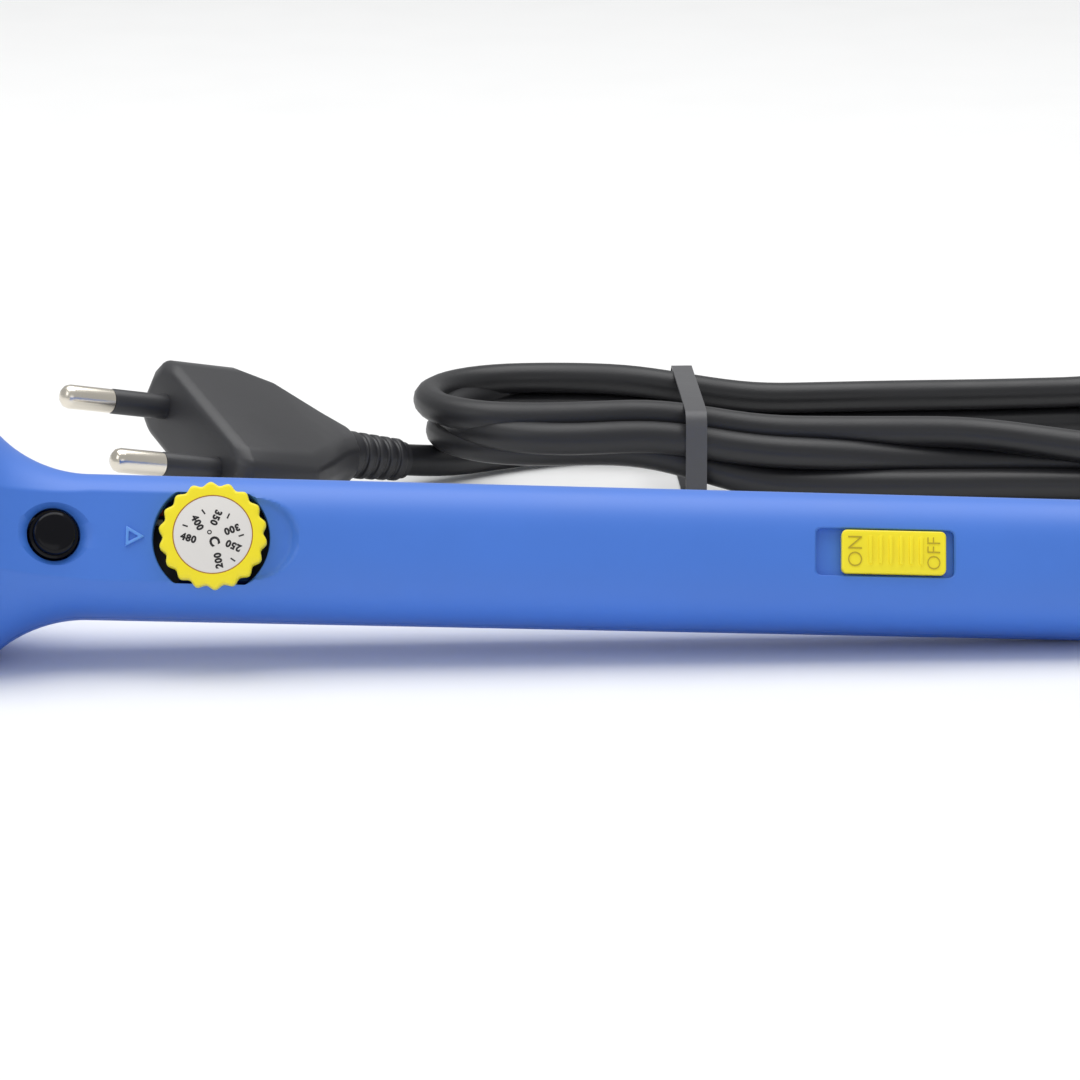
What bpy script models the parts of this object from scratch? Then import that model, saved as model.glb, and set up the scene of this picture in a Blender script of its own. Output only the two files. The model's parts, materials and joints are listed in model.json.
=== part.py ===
"""Mains soldering iron with a temperature dial, as separate pieces.

The iron is modelled along its own axis: x runs from the handle's front face to the
cord, z points out of the dial and y lies across. An empty then lays the whole iron
on the table, rolled to one side. Lengths are in metres.
"""

import math

import bmesh
import bpy
from mathutils import Matrix, Vector

MM = 0.001

# Lie on the table, and the gap that neighbouring pieces keep
ROLL = math.radians(65.0)
GAP = 0.3 * MM

# Handle, two shells that meet at z = 0
HANDLE_LENGTH = 168.0 * MM
BODY_RADIUS = 10.0 * MM
REAR_RADIUS = 9.7 * MM
REAR_ROUND = 1.6 * MM
BELL_RADIUS = 16.0 * MM
BELL_ROUND = 2.6 * MM
FLARE_END = 23.2 * MM
FLARE_ARC = 19.0 * MM
SQUARENESS = 2.7
WALL = 2.2 * MM
SECTION_SIDES = 40

# Flat panel for the thumb
PANEL_DEPTH = 1.2 * MM
PANEL_WIDTH = 13.1 * MM
PANEL_REAR = 52.3 * MM

# Temperature dial
DIAL_X = 40.5 * MM
DIAL_RADIUS = 7.5 * MM
DIAL_TEETH = 18
DIAL_TOOTH_DEPTH = 0.5 * MM
DIAL_THICKNESS = 2.4 * MM
DIAL_OPENING_RADIUS = 8.1 * MM
DIAL_FACE_RADIUS = 5.5 * MM
DIAL_FACE_THICKNESS = 0.6 * MM
DIAL_HUB_RADIUS = 3.6 * MM
DIAL_HUB_DEPTH = 3.0 * MM
SHAFT_RADIUS = 1.5 * MM

# Indicator window and its light
LENS_X = 18.6 * MM
LENS_RADIUS = 3.5 * MM
LENS_PROUD = 0.9 * MM
LENS_DEPTH = 3.6 * MM
LED_RADIUS = 1.5 * MM
LED_HEIGHT = 4.0 * MM

# Slide switch
SWITCH_REAR_MARGIN = 24.4 * MM
SWITCH_LENGTH = 19.3 * MM
SWITCH_FRONT = HANDLE_LENGTH - SWITCH_REAR_MARGIN - SWITCH_LENGTH
SWITCH_WIDTH = 6.7 * MM
SWITCH_RECESS = 1.3 * MM
SWITCH_FLOOR_THICKNESS = 1.6 * MM
CAP_LENGTH = 14.6 * MM
CAP_WIDTH = 6.1 * MM
CAP_PROUD = 0.6 * MM
CAP_END_GAP = 1.2 * MM
SWITCH_TRAVEL = 3.0 * MM
LEVER_SIDE = 1.6 * MM
SWITCH_BODY_LENGTH = 13.0 * MM
SWITCH_BODY_WIDTH = 6.0 * MM
SWITCH_BODY_HEIGHT = 4.4 * MM
RIB_COUNT = 6
RIB_PITCH = 1.43 * MM
RIB_WIDTH = 0.5 * MM
RIB_LENGTH = 4.0 * MM
RIB_HEIGHT = 0.35 * MM

# Circuit board and what it carries
BOARD_FRONT = 31.0 * MM
BOARD_REAR_CLEARANCE = 6.0 * MM
BOARD_WIDTH = 12.0 * MM
BOARD_THICKNESS = 1.2 * MM
BOARD_TOP = -1.0 * MM
POT_SIDE = 10.0 * MM
POT_HEIGHT = 3.6 * MM
SHAFT_ENGAGEMENT = 1.5 * MM
CHIP_BEHIND_DIAL = 13.5 * MM
TRIAC_BEHIND_DIAL = 25.5 * MM
CAPACITOR_BEHIND_DIAL = 37.5 * MM
FUSE_FROM_REAR = 7.0 * MM
FILM_FROM_REAR = 20.0 * MM

# Shell screws, driven from the back into pillars of the dial-side shell
FRONT_SCREW_X = 26.6 * MM
MIDDLE_SCREW_AHEAD = 7.3 * MM
REAR_SCREW_MARGIN = 22.0 * MM
SCREW_XS = (FRONT_SCREW_X, SWITCH_FRONT - MIDDLE_SCREW_AHEAD, HANDLE_LENGTH - REAR_SCREW_MARGIN)
BOARD_REAR = SCREW_XS[1] - BOARD_REAR_CLEARANCE
SCREW_RADIUS = 1.1 * MM
SCREW_TOP = 5.5 * MM
SCREW_HEAD_RADIUS = 2.0 * MM
SCREW_HEAD_HEIGHT = 1.4 * MM
SCREW_HEAD_SEAT = -6.4 * MM
PILLAR_RADIUS = 2.5 * MM
BOSS_RADIUS = 3.3 * MM

# Nipple that the nut screws on, its flange held in the handle's nose
NOSE_WALL = 2.4 * MM
NOSE_RIB = 2.0 * MM
NIPPLE_RADIUS = 6.2 * MM
NIPPLE_REACH = 7.6 * MM
NIPPLE_BORE = 4.0 * MM
FLANGE_RADIUS = 9.5 * MM
FLANGE_THICKNESS = 1.8 * MM
THREAD_PITCH = 1.5 * MM
THREAD_DEPTH = 0.5 * MM

# Knurled nut
NUT_RADIUS = 8.5 * MM
NUT_LENGTH = 10.4 * MM
NUT_LIP = 1.6 * MM
NUT_KNURLS = 24
NUT_KNURL_DEPTH = 0.4 * MM

# Steel barrel
BARREL_RADIUS = 4.0 * MM
BARREL_WALL = 0.4 * MM
BARREL_LENGTH = 54.0 * MM
BARREL_FLANGE_RADIUS = 5.8 * MM
BARREL_FLANGE_THICKNESS = 0.8 * MM
BARREL_LIP = 0.8 * MM
VENT_RADIUS = 0.9 * MM
VENT_PAIRS = 3
VENT_OFFSETS = (9.0 * MM, 15.0 * MM)

# Soldering bit
SLEEVE_RADIUS = 3.25 * MM
SLEEVE_LENGTH = 24.0 * MM
NECK_RADIUS = 2.5 * MM
NECK_LENGTH = 9.0 * MM
CONE_LENGTH = 15.0 * MM
POINT_RADIUS = 0.4 * MM
BIT_BORE = 2.25 * MM
BIT_BORE_DEPTH = 22.0 * MM

# Ceramic heater
HEATER_RADIUS = 1.9 * MM
HEATER_REAR = 9.0 * MM
BUSHING_FRONT = -3.0 * MM
BUSHING_REAR = 6.0 * MM
LEAD_RADIUS = 0.45 * MM

# Cord, strain relief and clamp
CORD_RADIUS = 2.6 * MM
BOOT_LENGTH = 30.0 * MM
BOOT_RADIUS = 4.6 * MM
BOOT_END_RADIUS = 3.5 * MM
BOOT_FLANGE_RADIUS = 6.2 * MM
BOOT_FLANGE_THICKNESS = 2.2 * MM
BOOT_GROOVES = 7
BOOT_GROOVE_DEPTH = 0.9 * MM
INNER_CORD_LENGTH = 11.0 * MM
CORE_RADIUS = 0.8 * MM
CLAMP_REAR_MARGIN = 11.0 * MM
CLAMP_X = HANDLE_LENGTH - CLAMP_REAR_MARGIN
CLAMP_LENGTH = 4.0 * MM
CLAMP_WIDTH = 12.4 * MM
CLAMP_THICKNESS = 1.6 * MM
CLAMP_SCREW_SIDE = 4.7 * MM
CLAMP_SCREW_RADIUS = 0.8 * MM
CLAMP_POST_RADIUS = 1.5 * MM

# Hank of cord behind the iron, lying flat on the table
HANK_LEFT = 22.0 * MM
HANK_RIGHT = 160.0 * MM
HANK_Y = 105.0 * MM
HANK_WIDTH = 46.0 * MM
HANK_HEIGHT = 13.0 * MM
TIE_X = 58.0 * MM
TIE_WIDTH = 3.6 * MM
TIE_THICKNESS = 1.2 * MM

# Plug: the middle of its face, its direction and its two-pin layout
PLUG_FACE = Vector((-23.0, 78.0, 13.8)) * MM
PLUG_DIRECTION = Vector((-0.80, -0.55, 0.22)).normalized()
PLUG_ACROSS = Vector((0.45, -0.82, -0.36))
PLUG_LENGTH = 42.0 * MM
PLUG_WIDTH = 35.0 * MM
PLUG_THICKNESS = 13.0 * MM
PIN_SPACING = 19.0 * MM
PIN_RADIUS = 2.0 * MM
PIN_LENGTH = 19.0 * MM
PIN_SLEEVE_LENGTH = 10.0 * MM
PIN_SLEEVE_WALL = 0.35 * MM

ROUND = 24
SMALL_ROUND = 12

# Colour, roughness and metallic value of each finish
FINISHES = {
    "blue_plastic": ((0.055, 0.18, 0.64), 0.42, 0.0),
    "yellow_plastic": ((1.0, 0.83, 0.02), 0.35, 0.0),
    "dial_print": ((0.80, 0.78, 0.75), 0.5, 0.0),
    "smoked_lens": ((0.012, 0.012, 0.015), 0.12, 0.0),
    "black_rubber": ((0.02, 0.02, 0.022), 0.55, 0.0),
    "black_plastic": ((0.03, 0.03, 0.034), 0.4, 0.0),
    "cord_jacket": ((0.018, 0.018, 0.02), 0.45, 0.0),
    "steel": ((0.62, 0.62, 0.63), 0.28, 1.0),
    "nickel": ((0.75, 0.72, 0.66), 0.2, 1.0),
    "bit_plating": ((0.55, 0.55, 0.57), 0.32, 1.0),
    "ceramic": ((0.86, 0.84, 0.80), 0.45, 0.0),
    "board_green": ((0.03, 0.22, 0.08), 0.4, 0.0),
    "component_black": ((0.02, 0.02, 0.02), 0.4, 0.0),
    "component_tan": ((0.62, 0.45, 0.25), 0.45, 0.0),
    "capacitor_sleeve": ((0.03, 0.05, 0.16), 0.35, 0.0),
    "fuse_glass": ((0.75, 0.8, 0.8), 0.1, 0.0),
    "led_red": ((0.7, 0.03, 0.02), 0.2, 0.0),
    "wire_red": ((0.6, 0.03, 0.02), 0.45, 0.0),
    "wire_blue": ((0.03, 0.12, 0.55), 0.45, 0.0),
    "wire_white": ((0.8, 0.8, 0.78), 0.45, 0.0),
    "tie_grey": ((0.30, 0.30, 0.31), 0.4, 0.0),
}


# Making objects


def clear_scene():
    for old in list(bpy.data.objects):
        bpy.data.objects.remove(old, do_unlink=True)


def finish(name):
    material = bpy.data.materials.new(name)
    colour, roughness, metallic = FINISHES[name]
    material.use_nodes = True
    shader = material.node_tree.nodes["Principled BSDF"]
    shader.inputs["Base Color"].default_value = (*colour, 1.0)
    shader.inputs["Roughness"].default_value = roughness
    shader.inputs["Metallic"].default_value = metallic
    material.diffuse_color = (*colour, 1.0)
    return material


def empty(name, location, parent=None):
    holder = bpy.data.objects.new(name, None)
    holder.location = location
    holder.parent = parent
    bpy.context.collection.objects.link(holder)
    return holder


def add_object(name, bm, parent):
    """Turns a bmesh given in the parent's coordinates into an object."""
    bmesh.ops.recalc_face_normals(bm, faces=bm.faces)
    mesh = bpy.data.meshes.new(name)
    bm.to_mesh(mesh)
    bm.free()
    made = bpy.data.objects.new(name, mesh)
    made.parent = parent
    bpy.context.collection.objects.link(made)
    return made


def piece(name, bm, look, parent):
    made = add_object(name, bm, parent)
    made.data.materials.append(finish(look))
    made.data.shade_smooth()
    made.data.set_sharp_from_angle(angle=math.radians(35.0))
    return made


def combine(target, bm, operation):
    """Adds a Boolean to target with a hidden tool body built from bm."""
    tool = add_object(f"{target.name}.tool{len(target.modifiers)}", bm, target.parent)
    tool.hide_render = True
    tool.display_type = "WIRE"
    boolean = target.modifiers.new("Boolean", "BOOLEAN")
    boolean.operation = operation
    boolean.solver = "EXACT"
    boolean.object = tool


def cut(target, bm):
    combine(target, bm, "DIFFERENCE")


def join(target, bm):
    combine(target, bm, "UNION")


# Shapes


def loft(rings):
    """A closed body through rings with the same number of points."""
    bm = bmesh.new()
    rows = [[bm.verts.new(point) for point in ring] for ring in rings]
    count = len(rows[0])
    for near, far in zip(rows, rows[1:]):
        for k in range(count):
            after = (k + 1) % count
            bm.faces.new((near[k], near[after], far[after], far[k]))
    bm.faces.new(rows[0])
    bm.faces.new(rows[-1])
    return bm


def ring_at(x, radius, sides, squareness=2.0):
    ring = []
    for k in range(sides):
        angle = 2.0 * math.pi * k / sides
        c = math.cos(angle)
        s = math.sin(angle)
        y = math.copysign(abs(c) ** (2.0 / squareness), c) * radius
        z = math.copysign(abs(s) ** (2.0 / squareness), s) * radius
        ring.append((x, y, z))
    return ring


def turned(profile, sides=ROUND):
    """A solid body turned about x through (x, radius) points."""
    return loft([ring_at(x, radius, sides) for x, radius in profile])


def turned_tube(profile, sides=ROUND):
    """A body turned about x from a closed (x, radius) outline that stays off the axis."""
    bm = bmesh.new()
    rows = [[bm.verts.new(p) for p in ring_at(x, r, sides)] for x, r in profile]
    for near, far in zip(rows, rows[1:] + rows[:1]):
        for k in range(sides):
            after = (k + 1) % sides
            bm.faces.new((near[k], near[after], far[after], far[k]))
    return bm


def box(low, high):
    bm = bmesh.new()
    bmesh.ops.create_cube(bm, size=1.0)
    low = Vector(low)
    high = Vector(high)
    bmesh.ops.scale(bm, verts=bm.verts, vec=high - low)
    bmesh.ops.translate(bm, verts=bm.verts, vec=(low + high) / 2.0)
    return bm


def bevelled_box(low, high, round_size):
    bm = box(low, high)
    bmesh.ops.bevel(
        bm, geom=bm.edges[:], offset=round_size, segments=2, profile=0.5, affect="EDGES"
    )
    return bm


def upright(profile, x, y=0.0, sides=SMALL_ROUND, factor=None):
    """A solid body turned about the z line through x, y, from (z, radius) points."""
    rings = []
    for z, radius in profile:
        ring = []
        for k in range(sides):
            angle = 2.0 * math.pi * k / sides
            r = radius * (factor(k) if factor else 1.0)
            ring.append((x + r * math.cos(angle), y + r * math.sin(angle), z))
        rings.append(ring)
    return loft(rings)


def tube_through(name, points, radius, look, parent=None):
    """A curve with a round section and filled caps, the plain form of every wire."""
    curve = bpy.data.curves.new(name, "CURVE")
    curve.dimensions = "3D"
    curve.bevel_depth = radius
    curve.bevel_resolution = 2
    curve.use_fill_caps = True
    spline = curve.splines.new("POLY")
    spline.points.add(len(points) - 1)
    for point, place in zip(spline.points, points):
        point.co = (*place, 1.0)
    curve.materials.append(finish(look))
    made = bpy.data.objects.new(name, curve)
    made.parent = parent
    bpy.context.collection.objects.link(made)
    return made


def smooth_route(stops, per_span):
    """Points on a Catmull-Rom curve through the stops."""
    stops = [Vector(stop) for stop in stops]
    ends = [2 * stops[0] - stops[1], *stops, 2 * stops[-1] - stops[-2]]
    route = []
    for a, b, c, d in zip(ends, ends[1:], ends[2:], ends[3:]):
        for k in range(per_span):
            t = k / per_span
            bend = 2 * a - 5 * b + 4 * c - d
            turn = 3 * b - a - 3 * c + d
            route.append((2 * b + (c - a) * t + bend * t**2 + turn * t**3) / 2)
    return [*route, stops[-1]]


# Handle


def body_radius(x):
    """Outer radius of the handle at x: bell, flare, grip and rounded rear edge."""
    if x < BELL_ROUND:
        inward = 1.0 - x / BELL_ROUND
        return BELL_RADIUS - BELL_ROUND * (1.0 - math.sqrt(max(0.0, 1.0 - inward**2)))
    if x < FLARE_END:
        across = min(FLARE_END - x, FLARE_ARC)
        arc = BODY_RADIUS + FLARE_ARC - math.sqrt(FLARE_ARC**2 - across**2)
        return min(BELL_RADIUS, arc)
    share = (x - FLARE_END) / (HANDLE_LENGTH - FLARE_END)
    radius = BODY_RADIUS + (REAR_RADIUS - BODY_RADIUS) * share
    into_round = x - (HANDLE_LENGTH - REAR_ROUND)
    if into_round > 0.0:
        radius -= REAR_ROUND - math.sqrt(max(0.0, REAR_ROUND**2 - into_round**2))
    return radius


def squareness_at(x):
    """Round at the bell, a rounded square along the grip."""
    share = min(1.0, max(0.0, (x - FLARE_END / 2.0) / (FLARE_END / 2.0)))
    return 2.0 + (SQUARENESS - 2.0) * share


def bell_edge():
    """Where the flare's arc reaches the full radius of the bell."""
    rise = FLARE_ARC - (BELL_RADIUS - BODY_RADIUS)
    return FLARE_END - math.sqrt(FLARE_ARC**2 - rise**2)


def panel_height(x):
    return body_radius(x) - PANEL_DEPTH


def spread(first, last, count):
    return [first + (last - first) * k / (count - 1) for k in range(count)]


def handle_stations():
    front = [BELL_ROUND * (1.0 - math.cos(math.radians(a))) for a in (0, 30, 60, 90)]
    flare = spread(bell_edge(), FLARE_END, 8)
    grip = spread(FLARE_END, HANDLE_LENGTH - REAR_ROUND, 4)[1:]
    back = [HANDLE_LENGTH - REAR_ROUND * (1.0 - math.sin(math.radians(a))) for a in (30, 60, 90)]
    return front + flare + grip + back


def cavity_front():
    return NOSE_WALL + FLANGE_THICKNESS + 2 * GAP + NOSE_RIB


def handle_solid(name):
    rings = [
        ring_at(x, body_radius(x), SECTION_SIDES, squareness_at(x)) for x in handle_stations()
    ]
    shell = piece(name, loft(rings), "blue_plastic", IRON)
    inside = [cavity_front()]
    inside += [x for x in handle_stations() if cavity_front() < x < HANDLE_LENGTH - 2 * WALL]
    inside.append(HANDLE_LENGTH - WALL)
    cut(
        shell,
        loft(
            [
                ring_at(x, body_radius(min(x, HANDLE_LENGTH - WALL)) - WALL, SECTION_SIDES,
                        squareness_at(x))
                for x in inside
            ]
        ),
    )
    flange_front = NOSE_WALL
    flange_rear = NOSE_WALL + FLANGE_THICKNESS + 2 * GAP
    cut(
        shell,
        turned(
            [
                (-1.0 * MM, NIPPLE_RADIUS + GAP),
                (flange_front, NIPPLE_RADIUS + GAP),
                (flange_front, FLANGE_RADIUS + GAP),
                (flange_rear, FLANGE_RADIUS + GAP),
                (flange_rear, NIPPLE_RADIUS + GAP),
                (cavity_front() + 1.0 * MM, NIPPLE_RADIUS + GAP),
            ]
        ),
    )
    cut(
        shell,
        turned(
            [
                (HANDLE_LENGTH - 2 * WALL, BOOT_RADIUS + GAP),
                (HANDLE_LENGTH + 1.0 * MM, BOOT_RADIUS + GAP),
            ]
        ),
    )
    return shell


def half_space(side):
    """A block that covers all of the handle below (-1) or above (+1) the parting plane."""
    reach = 2.0 * BELL_RADIUS
    edge = -side * GAP / 2.0
    low = (-5.0 * MM, -reach, min(edge, side * reach))
    high = (HANDLE_LENGTH + 5.0 * MM, reach, max(edge, side * reach))
    return box(low, high)


def panel_block():
    """The material above the thumb panel, from the bell's front to a round rear end."""
    half = PANEL_WIDTH / 2.0
    centre = PANEL_REAR - half
    straight = [-1.0 * MM, BELL_ROUND, *spread(bell_edge(), FLARE_END, 8), centre]
    round_end = [centre + half * math.sin(math.radians(a)) for a in (20, 40, 60, 75, 86)]
    rings = []
    for x in straight + round_end:
        width = half if x <= centre else math.sqrt(half**2 - (x - centre) ** 2)
        floor = panel_height(max(x, BELL_ROUND))
        top = 2.0 * BELL_RADIUS
        rings.append([(x, -width, floor), (x, width, floor), (x, width, top), (x, -width, top)])
    return loft(rings)


def dial_opening():
    """Round hole for the dial, cut short by the panel's two long edges."""
    half = PANEL_WIDTH / 2.0 - 0.1 * MM
    limit = math.asin(half / DIAL_OPENING_RADIUS)
    outline = []
    for start in (-limit, math.pi - limit):
        for k in range(9):
            angle = start + 2.0 * limit * k / 8
            outline.append((DIAL_X + DIAL_OPENING_RADIUS * math.cos(angle),
                            DIAL_OPENING_RADIUS * math.sin(angle)))
    levels = (BODY_RADIUS - 2 * WALL, BODY_RADIUS + 1.0 * MM)
    return loft([[(x, y, z) for x, y in outline] for z in levels])


def make_top_shell():
    shell = handle_solid("handle_top_shell")
    cut(shell, half_space(-1))
    cut(shell, panel_block())
    cut(shell, dial_opening())
    lens_top = panel_height(LENS_X)
    cut(
        shell,
        upright([(0.0, LENS_RADIUS + GAP), (lens_top + 2 * MM, LENS_RADIUS + GAP)], LENS_X, sides=ROUND),
    )
    floor = switch_floor()
    middle = SWITCH_FRONT + SWITCH_LENGTH / 2.0
    pad = (SWITCH_LENGTH / 2.0 + WALL, SWITCH_WIDTH / 2.0 + WALL)
    join(
        shell,
        box((middle - pad[0], -pad[1], floor - SWITCH_FLOOR_THICKNESS), (middle + pad[0], pad[1], floor)),
    )
    cut(
        shell,
        box(
            (SWITCH_FRONT, -SWITCH_WIDTH / 2.0, floor),
            (SWITCH_FRONT + SWITCH_LENGTH, SWITCH_WIDTH / 2.0, 2.0 * BODY_RADIUS),
        ),
    )
    slot_half = LEVER_SIDE / 2.0 + GAP
    cut(
        shell,
        box(
            (cap_middle() - SWITCH_TRAVEL - slot_half - GAP, -slot_half, floor - 2 * SWITCH_FLOOR_THICKNESS),
            (cap_middle() + slot_half + GAP, slot_half, floor + 1.0 * MM),
        ),
    )
    for x in SCREW_XS:
        top = panel_height(x) - 0.4 * MM if x < PANEL_REAR else body_radius(x) - WALL / 2.0
        join(shell, upright([(GAP, PILLAR_RADIUS), (top, PILLAR_RADIUS)], x))
        cut(shell, upright([(-1.0 * MM, SCREW_RADIUS + GAP), (SCREW_TOP + GAP, SCREW_RADIUS + GAP)], x))
    return shell


def make_bottom_shell():
    shell = handle_solid("handle_bottom_shell")
    cut(shell, half_space(1))
    for x in SCREW_XS:
        base = -body_radius(x) + WALL / 2.0
        join(shell, upright([(base, BOSS_RADIUS), (-GAP, BOSS_RADIUS)], x))
        hole = SCREW_RADIUS + GAP
        seat = SCREW_HEAD_RADIUS + GAP
        cut(
            shell,
            upright(
                [
                    (-2.0 * BELL_RADIUS, seat),
                    (SCREW_HEAD_SEAT, seat),
                    (SCREW_HEAD_SEAT, hole),
                    (1.0 * MM, hole),
                ],
                x,
            ),
        )
    for side in (-1, 1):
        y = side * CLAMP_SCREW_SIDE
        base = -body_radius(CLAMP_X) + WALL
        post = [(base - 0.6 * MM, CLAMP_POST_RADIUS), (clamp_seat() - GAP, CLAMP_POST_RADIUS)]
        join(shell, upright(post, CLAMP_X, y))
        hole = CLAMP_SCREW_RADIUS + GAP
        cut(shell, upright([(base + 1.0 * MM, hole), (clamp_seat() + 1.0 * MM, hole)], CLAMP_X, y))
    return shell


def make_shell_screws():
    for number, x in enumerate(SCREW_XS, 1):
        seat = SCREW_HEAD_SEAT - GAP
        profile = [
            (seat - SCREW_HEAD_HEIGHT, SCREW_HEAD_RADIUS * 0.8),
            (seat - SCREW_HEAD_HEIGHT * 0.7, SCREW_HEAD_RADIUS),
            (seat, SCREW_HEAD_RADIUS),
            (seat, SCREW_RADIUS),
            (SCREW_TOP - SCREW_RADIUS, SCREW_RADIUS),
            (SCREW_TOP, SCREW_RADIUS * 0.3),
        ]
        piece(f"shell_screw_{number}", upright(profile, x), "steel", IRON)


# Nipple, nut, barrel, bit and heater


def nipple_front():
    return -NIPPLE_REACH


def barrel_rear():
    return nipple_front() - GAP


def barrel_front():
    return barrel_rear() - BARREL_LENGTH


def make_nipple():
    back = NOSE_WALL + GAP + FLANGE_THICKNESS
    outline = [(nipple_front(), NIPPLE_BORE), (nipple_front(), NIPPLE_RADIUS - THREAD_DEPTH)]
    turns = int(NIPPLE_REACH / THREAD_PITCH)
    for k in range(turns):
        start = nipple_front() + k * THREAD_PITCH
        outline.append((start + THREAD_PITCH / 2.0, NIPPLE_RADIUS))
        outline.append((start + THREAD_PITCH, NIPPLE_RADIUS - THREAD_DEPTH))
    outline += [
        (NOSE_WALL + GAP, NIPPLE_RADIUS - THREAD_DEPTH),
        (NOSE_WALL + GAP, FLANGE_RADIUS),
        (back, FLANGE_RADIUS),
        (back, NIPPLE_BORE),
    ]
    piece("threaded_nipple", turned_tube(outline), "nickel", IRON)


def make_nut():
    front = -GAP - NUT_LENGTH
    inner = NIPPLE_RADIUS + GAP
    lip = BARREL_RADIUS + GAP
    chamfer = 1.0 * MM
    lip_rear = front + NUT_LIP
    profile = [
        (front, lip),
        (front, NUT_RADIUS - chamfer),
        (front + chamfer, NUT_RADIUS),
        (-GAP - chamfer, NUT_RADIUS),
        (-GAP, NUT_RADIUS - chamfer / 2.0),
        (-GAP, inner),
        (lip_rear, inner),
        (lip_rear, lip),
    ]
    sides = 2 * NUT_KNURLS
    bm = turned_tube(profile, sides)
    for vert in bm.verts:
        radius = math.hypot(vert.co.y, vert.co.z)
        step = round(math.atan2(vert.co.z, vert.co.y) / (2.0 * math.pi / sides))
        if radius > NUT_RADIUS - NUT_KNURL_DEPTH and step % 2:
            share = (radius - NUT_KNURL_DEPTH) / radius
            vert.co.y *= share
            vert.co.z *= share
    piece("retaining_nut", bm, "steel", NUT_AXIS)


def make_barrel():
    rear = barrel_rear()
    front = barrel_front()
    bore = BARREL_RADIUS - BARREL_WALL
    profile = [
        (rear, bore),
        (front + BARREL_LIP, bore),
        (front + BARREL_LIP, NECK_RADIUS + GAP),
        (front, NECK_RADIUS + GAP),
        (front, BARREL_RADIUS - 0.3 * MM),
        (front + 0.4 * MM, BARREL_RADIUS),
        (rear - BARREL_FLANGE_THICKNESS, BARREL_RADIUS),
        (rear - BARREL_FLANGE_THICKNESS, BARREL_FLANGE_RADIUS),
        (rear, BARREL_FLANGE_RADIUS),
    ]
    barrel = piece("barrel_tube", turned_tube(profile), "steel", BARREL_AXIS)
    for row, offset in enumerate(VENT_OFFSETS):
        x = -GAP - NUT_LENGTH - offset
        for k in range(VENT_PAIRS):
            drill = upright([(-2 * BARREL_RADIUS, VENT_RADIUS), (2 * BARREL_RADIUS, VENT_RADIUS)], x, sides=8)
            turn = math.pi * (k + row / 2.0) / VENT_PAIRS
            bmesh.ops.rotate(drill, verts=drill.verts, cent=(x, 0, 0), matrix=Matrix.Rotation(turn, 3, "X"))
            cut(barrel, drill)


def bit_shoulder():
    return barrel_front() + BARREL_LIP + GAP


def make_bit():
    shoulder = bit_shoulder()
    rear = shoulder + SLEEVE_LENGTH
    neck_front = barrel_front() - NECK_LENGTH
    point = neck_front - CONE_LENGTH
    blind = rear - BIT_BORE_DEPTH
    chamfer = 0.5 * MM
    outline = [
        (rear, BIT_BORE),
        (rear, SLEEVE_RADIUS),
        (shoulder + chamfer, SLEEVE_RADIUS),
        (shoulder, SLEEVE_RADIUS - chamfer),
        (shoulder, NECK_RADIUS),
        (neck_front, NECK_RADIUS),
        (point + POINT_RADIUS, POINT_RADIUS),
        (point + POINT_RADIUS * 0.3, POINT_RADIUS * 0.75),
        (point, POINT_RADIUS * 0.25),
    ]
    rings = [ring_at(x, radius, ROUND) for x, radius in outline]
    rings.insert(0, ring_at(blind, BIT_BORE, ROUND))
    piece("soldering_tip", loft(rings), "bit_plating", BARREL_AXIS)
    return point, blind


def make_heater(blind):
    piece(
        "ceramic_heater",
        turned(
            [
                (blind + GAP, HEATER_RADIUS * 0.7),
                (blind + 3 * GAP, HEATER_RADIUS),
                (HEATER_REAR, HEATER_RADIUS),
            ],
            16,
        ),
        "ceramic",
        IRON,
    )
    bore = HEATER_RADIUS + GAP
    outer = NIPPLE_BORE - GAP
    piece(
        "heater_bushing",
        turned_tube(
            [(BUSHING_FRONT, bore), (BUSHING_FRONT, outer), (BUSHING_REAR, outer), (BUSHING_REAR, bore)], 16
        ),
        "ceramic",
        IRON,
    )
    looks = {"heater_lead": "wire_red", "sensor_lead": "wire_white"}
    for kind, offset in (("heater_lead", 1.1 * MM), ("sensor_lead", 3.0 * MM)):
        for number, side in ((1, -1), (2, 1)):
            y = side * offset
            start = HEATER_REAR + GAP + LEAD_RADIUS
            height = 0.0 if kind == "heater_lead" else 1.6 * MM
            near = (start, side * 0.9 * MM, height / 2.0)
            end_y = side * (3.8 * MM if kind == "heater_lead" else 5.2 * MM)
            end = (BOARD_FRONT + 2.0 * MM, end_y, BOARD_TOP + GAP + LEAD_RADIUS)
            bend = (start + 7.0 * MM, y + side * 3.0 * MM, height)
            away = (BOARD_FRONT - 4.0 * MM, end_y, 0.6 * MM)
            route = smooth_route([near, bend, away, end], 4)
            tube_through(f"{kind}_{number}", route, LEAD_RADIUS, looks[kind], IRON)


# Dial and indicator


def dial_base():
    return BODY_RADIUS - PANEL_DEPTH + GAP


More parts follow.
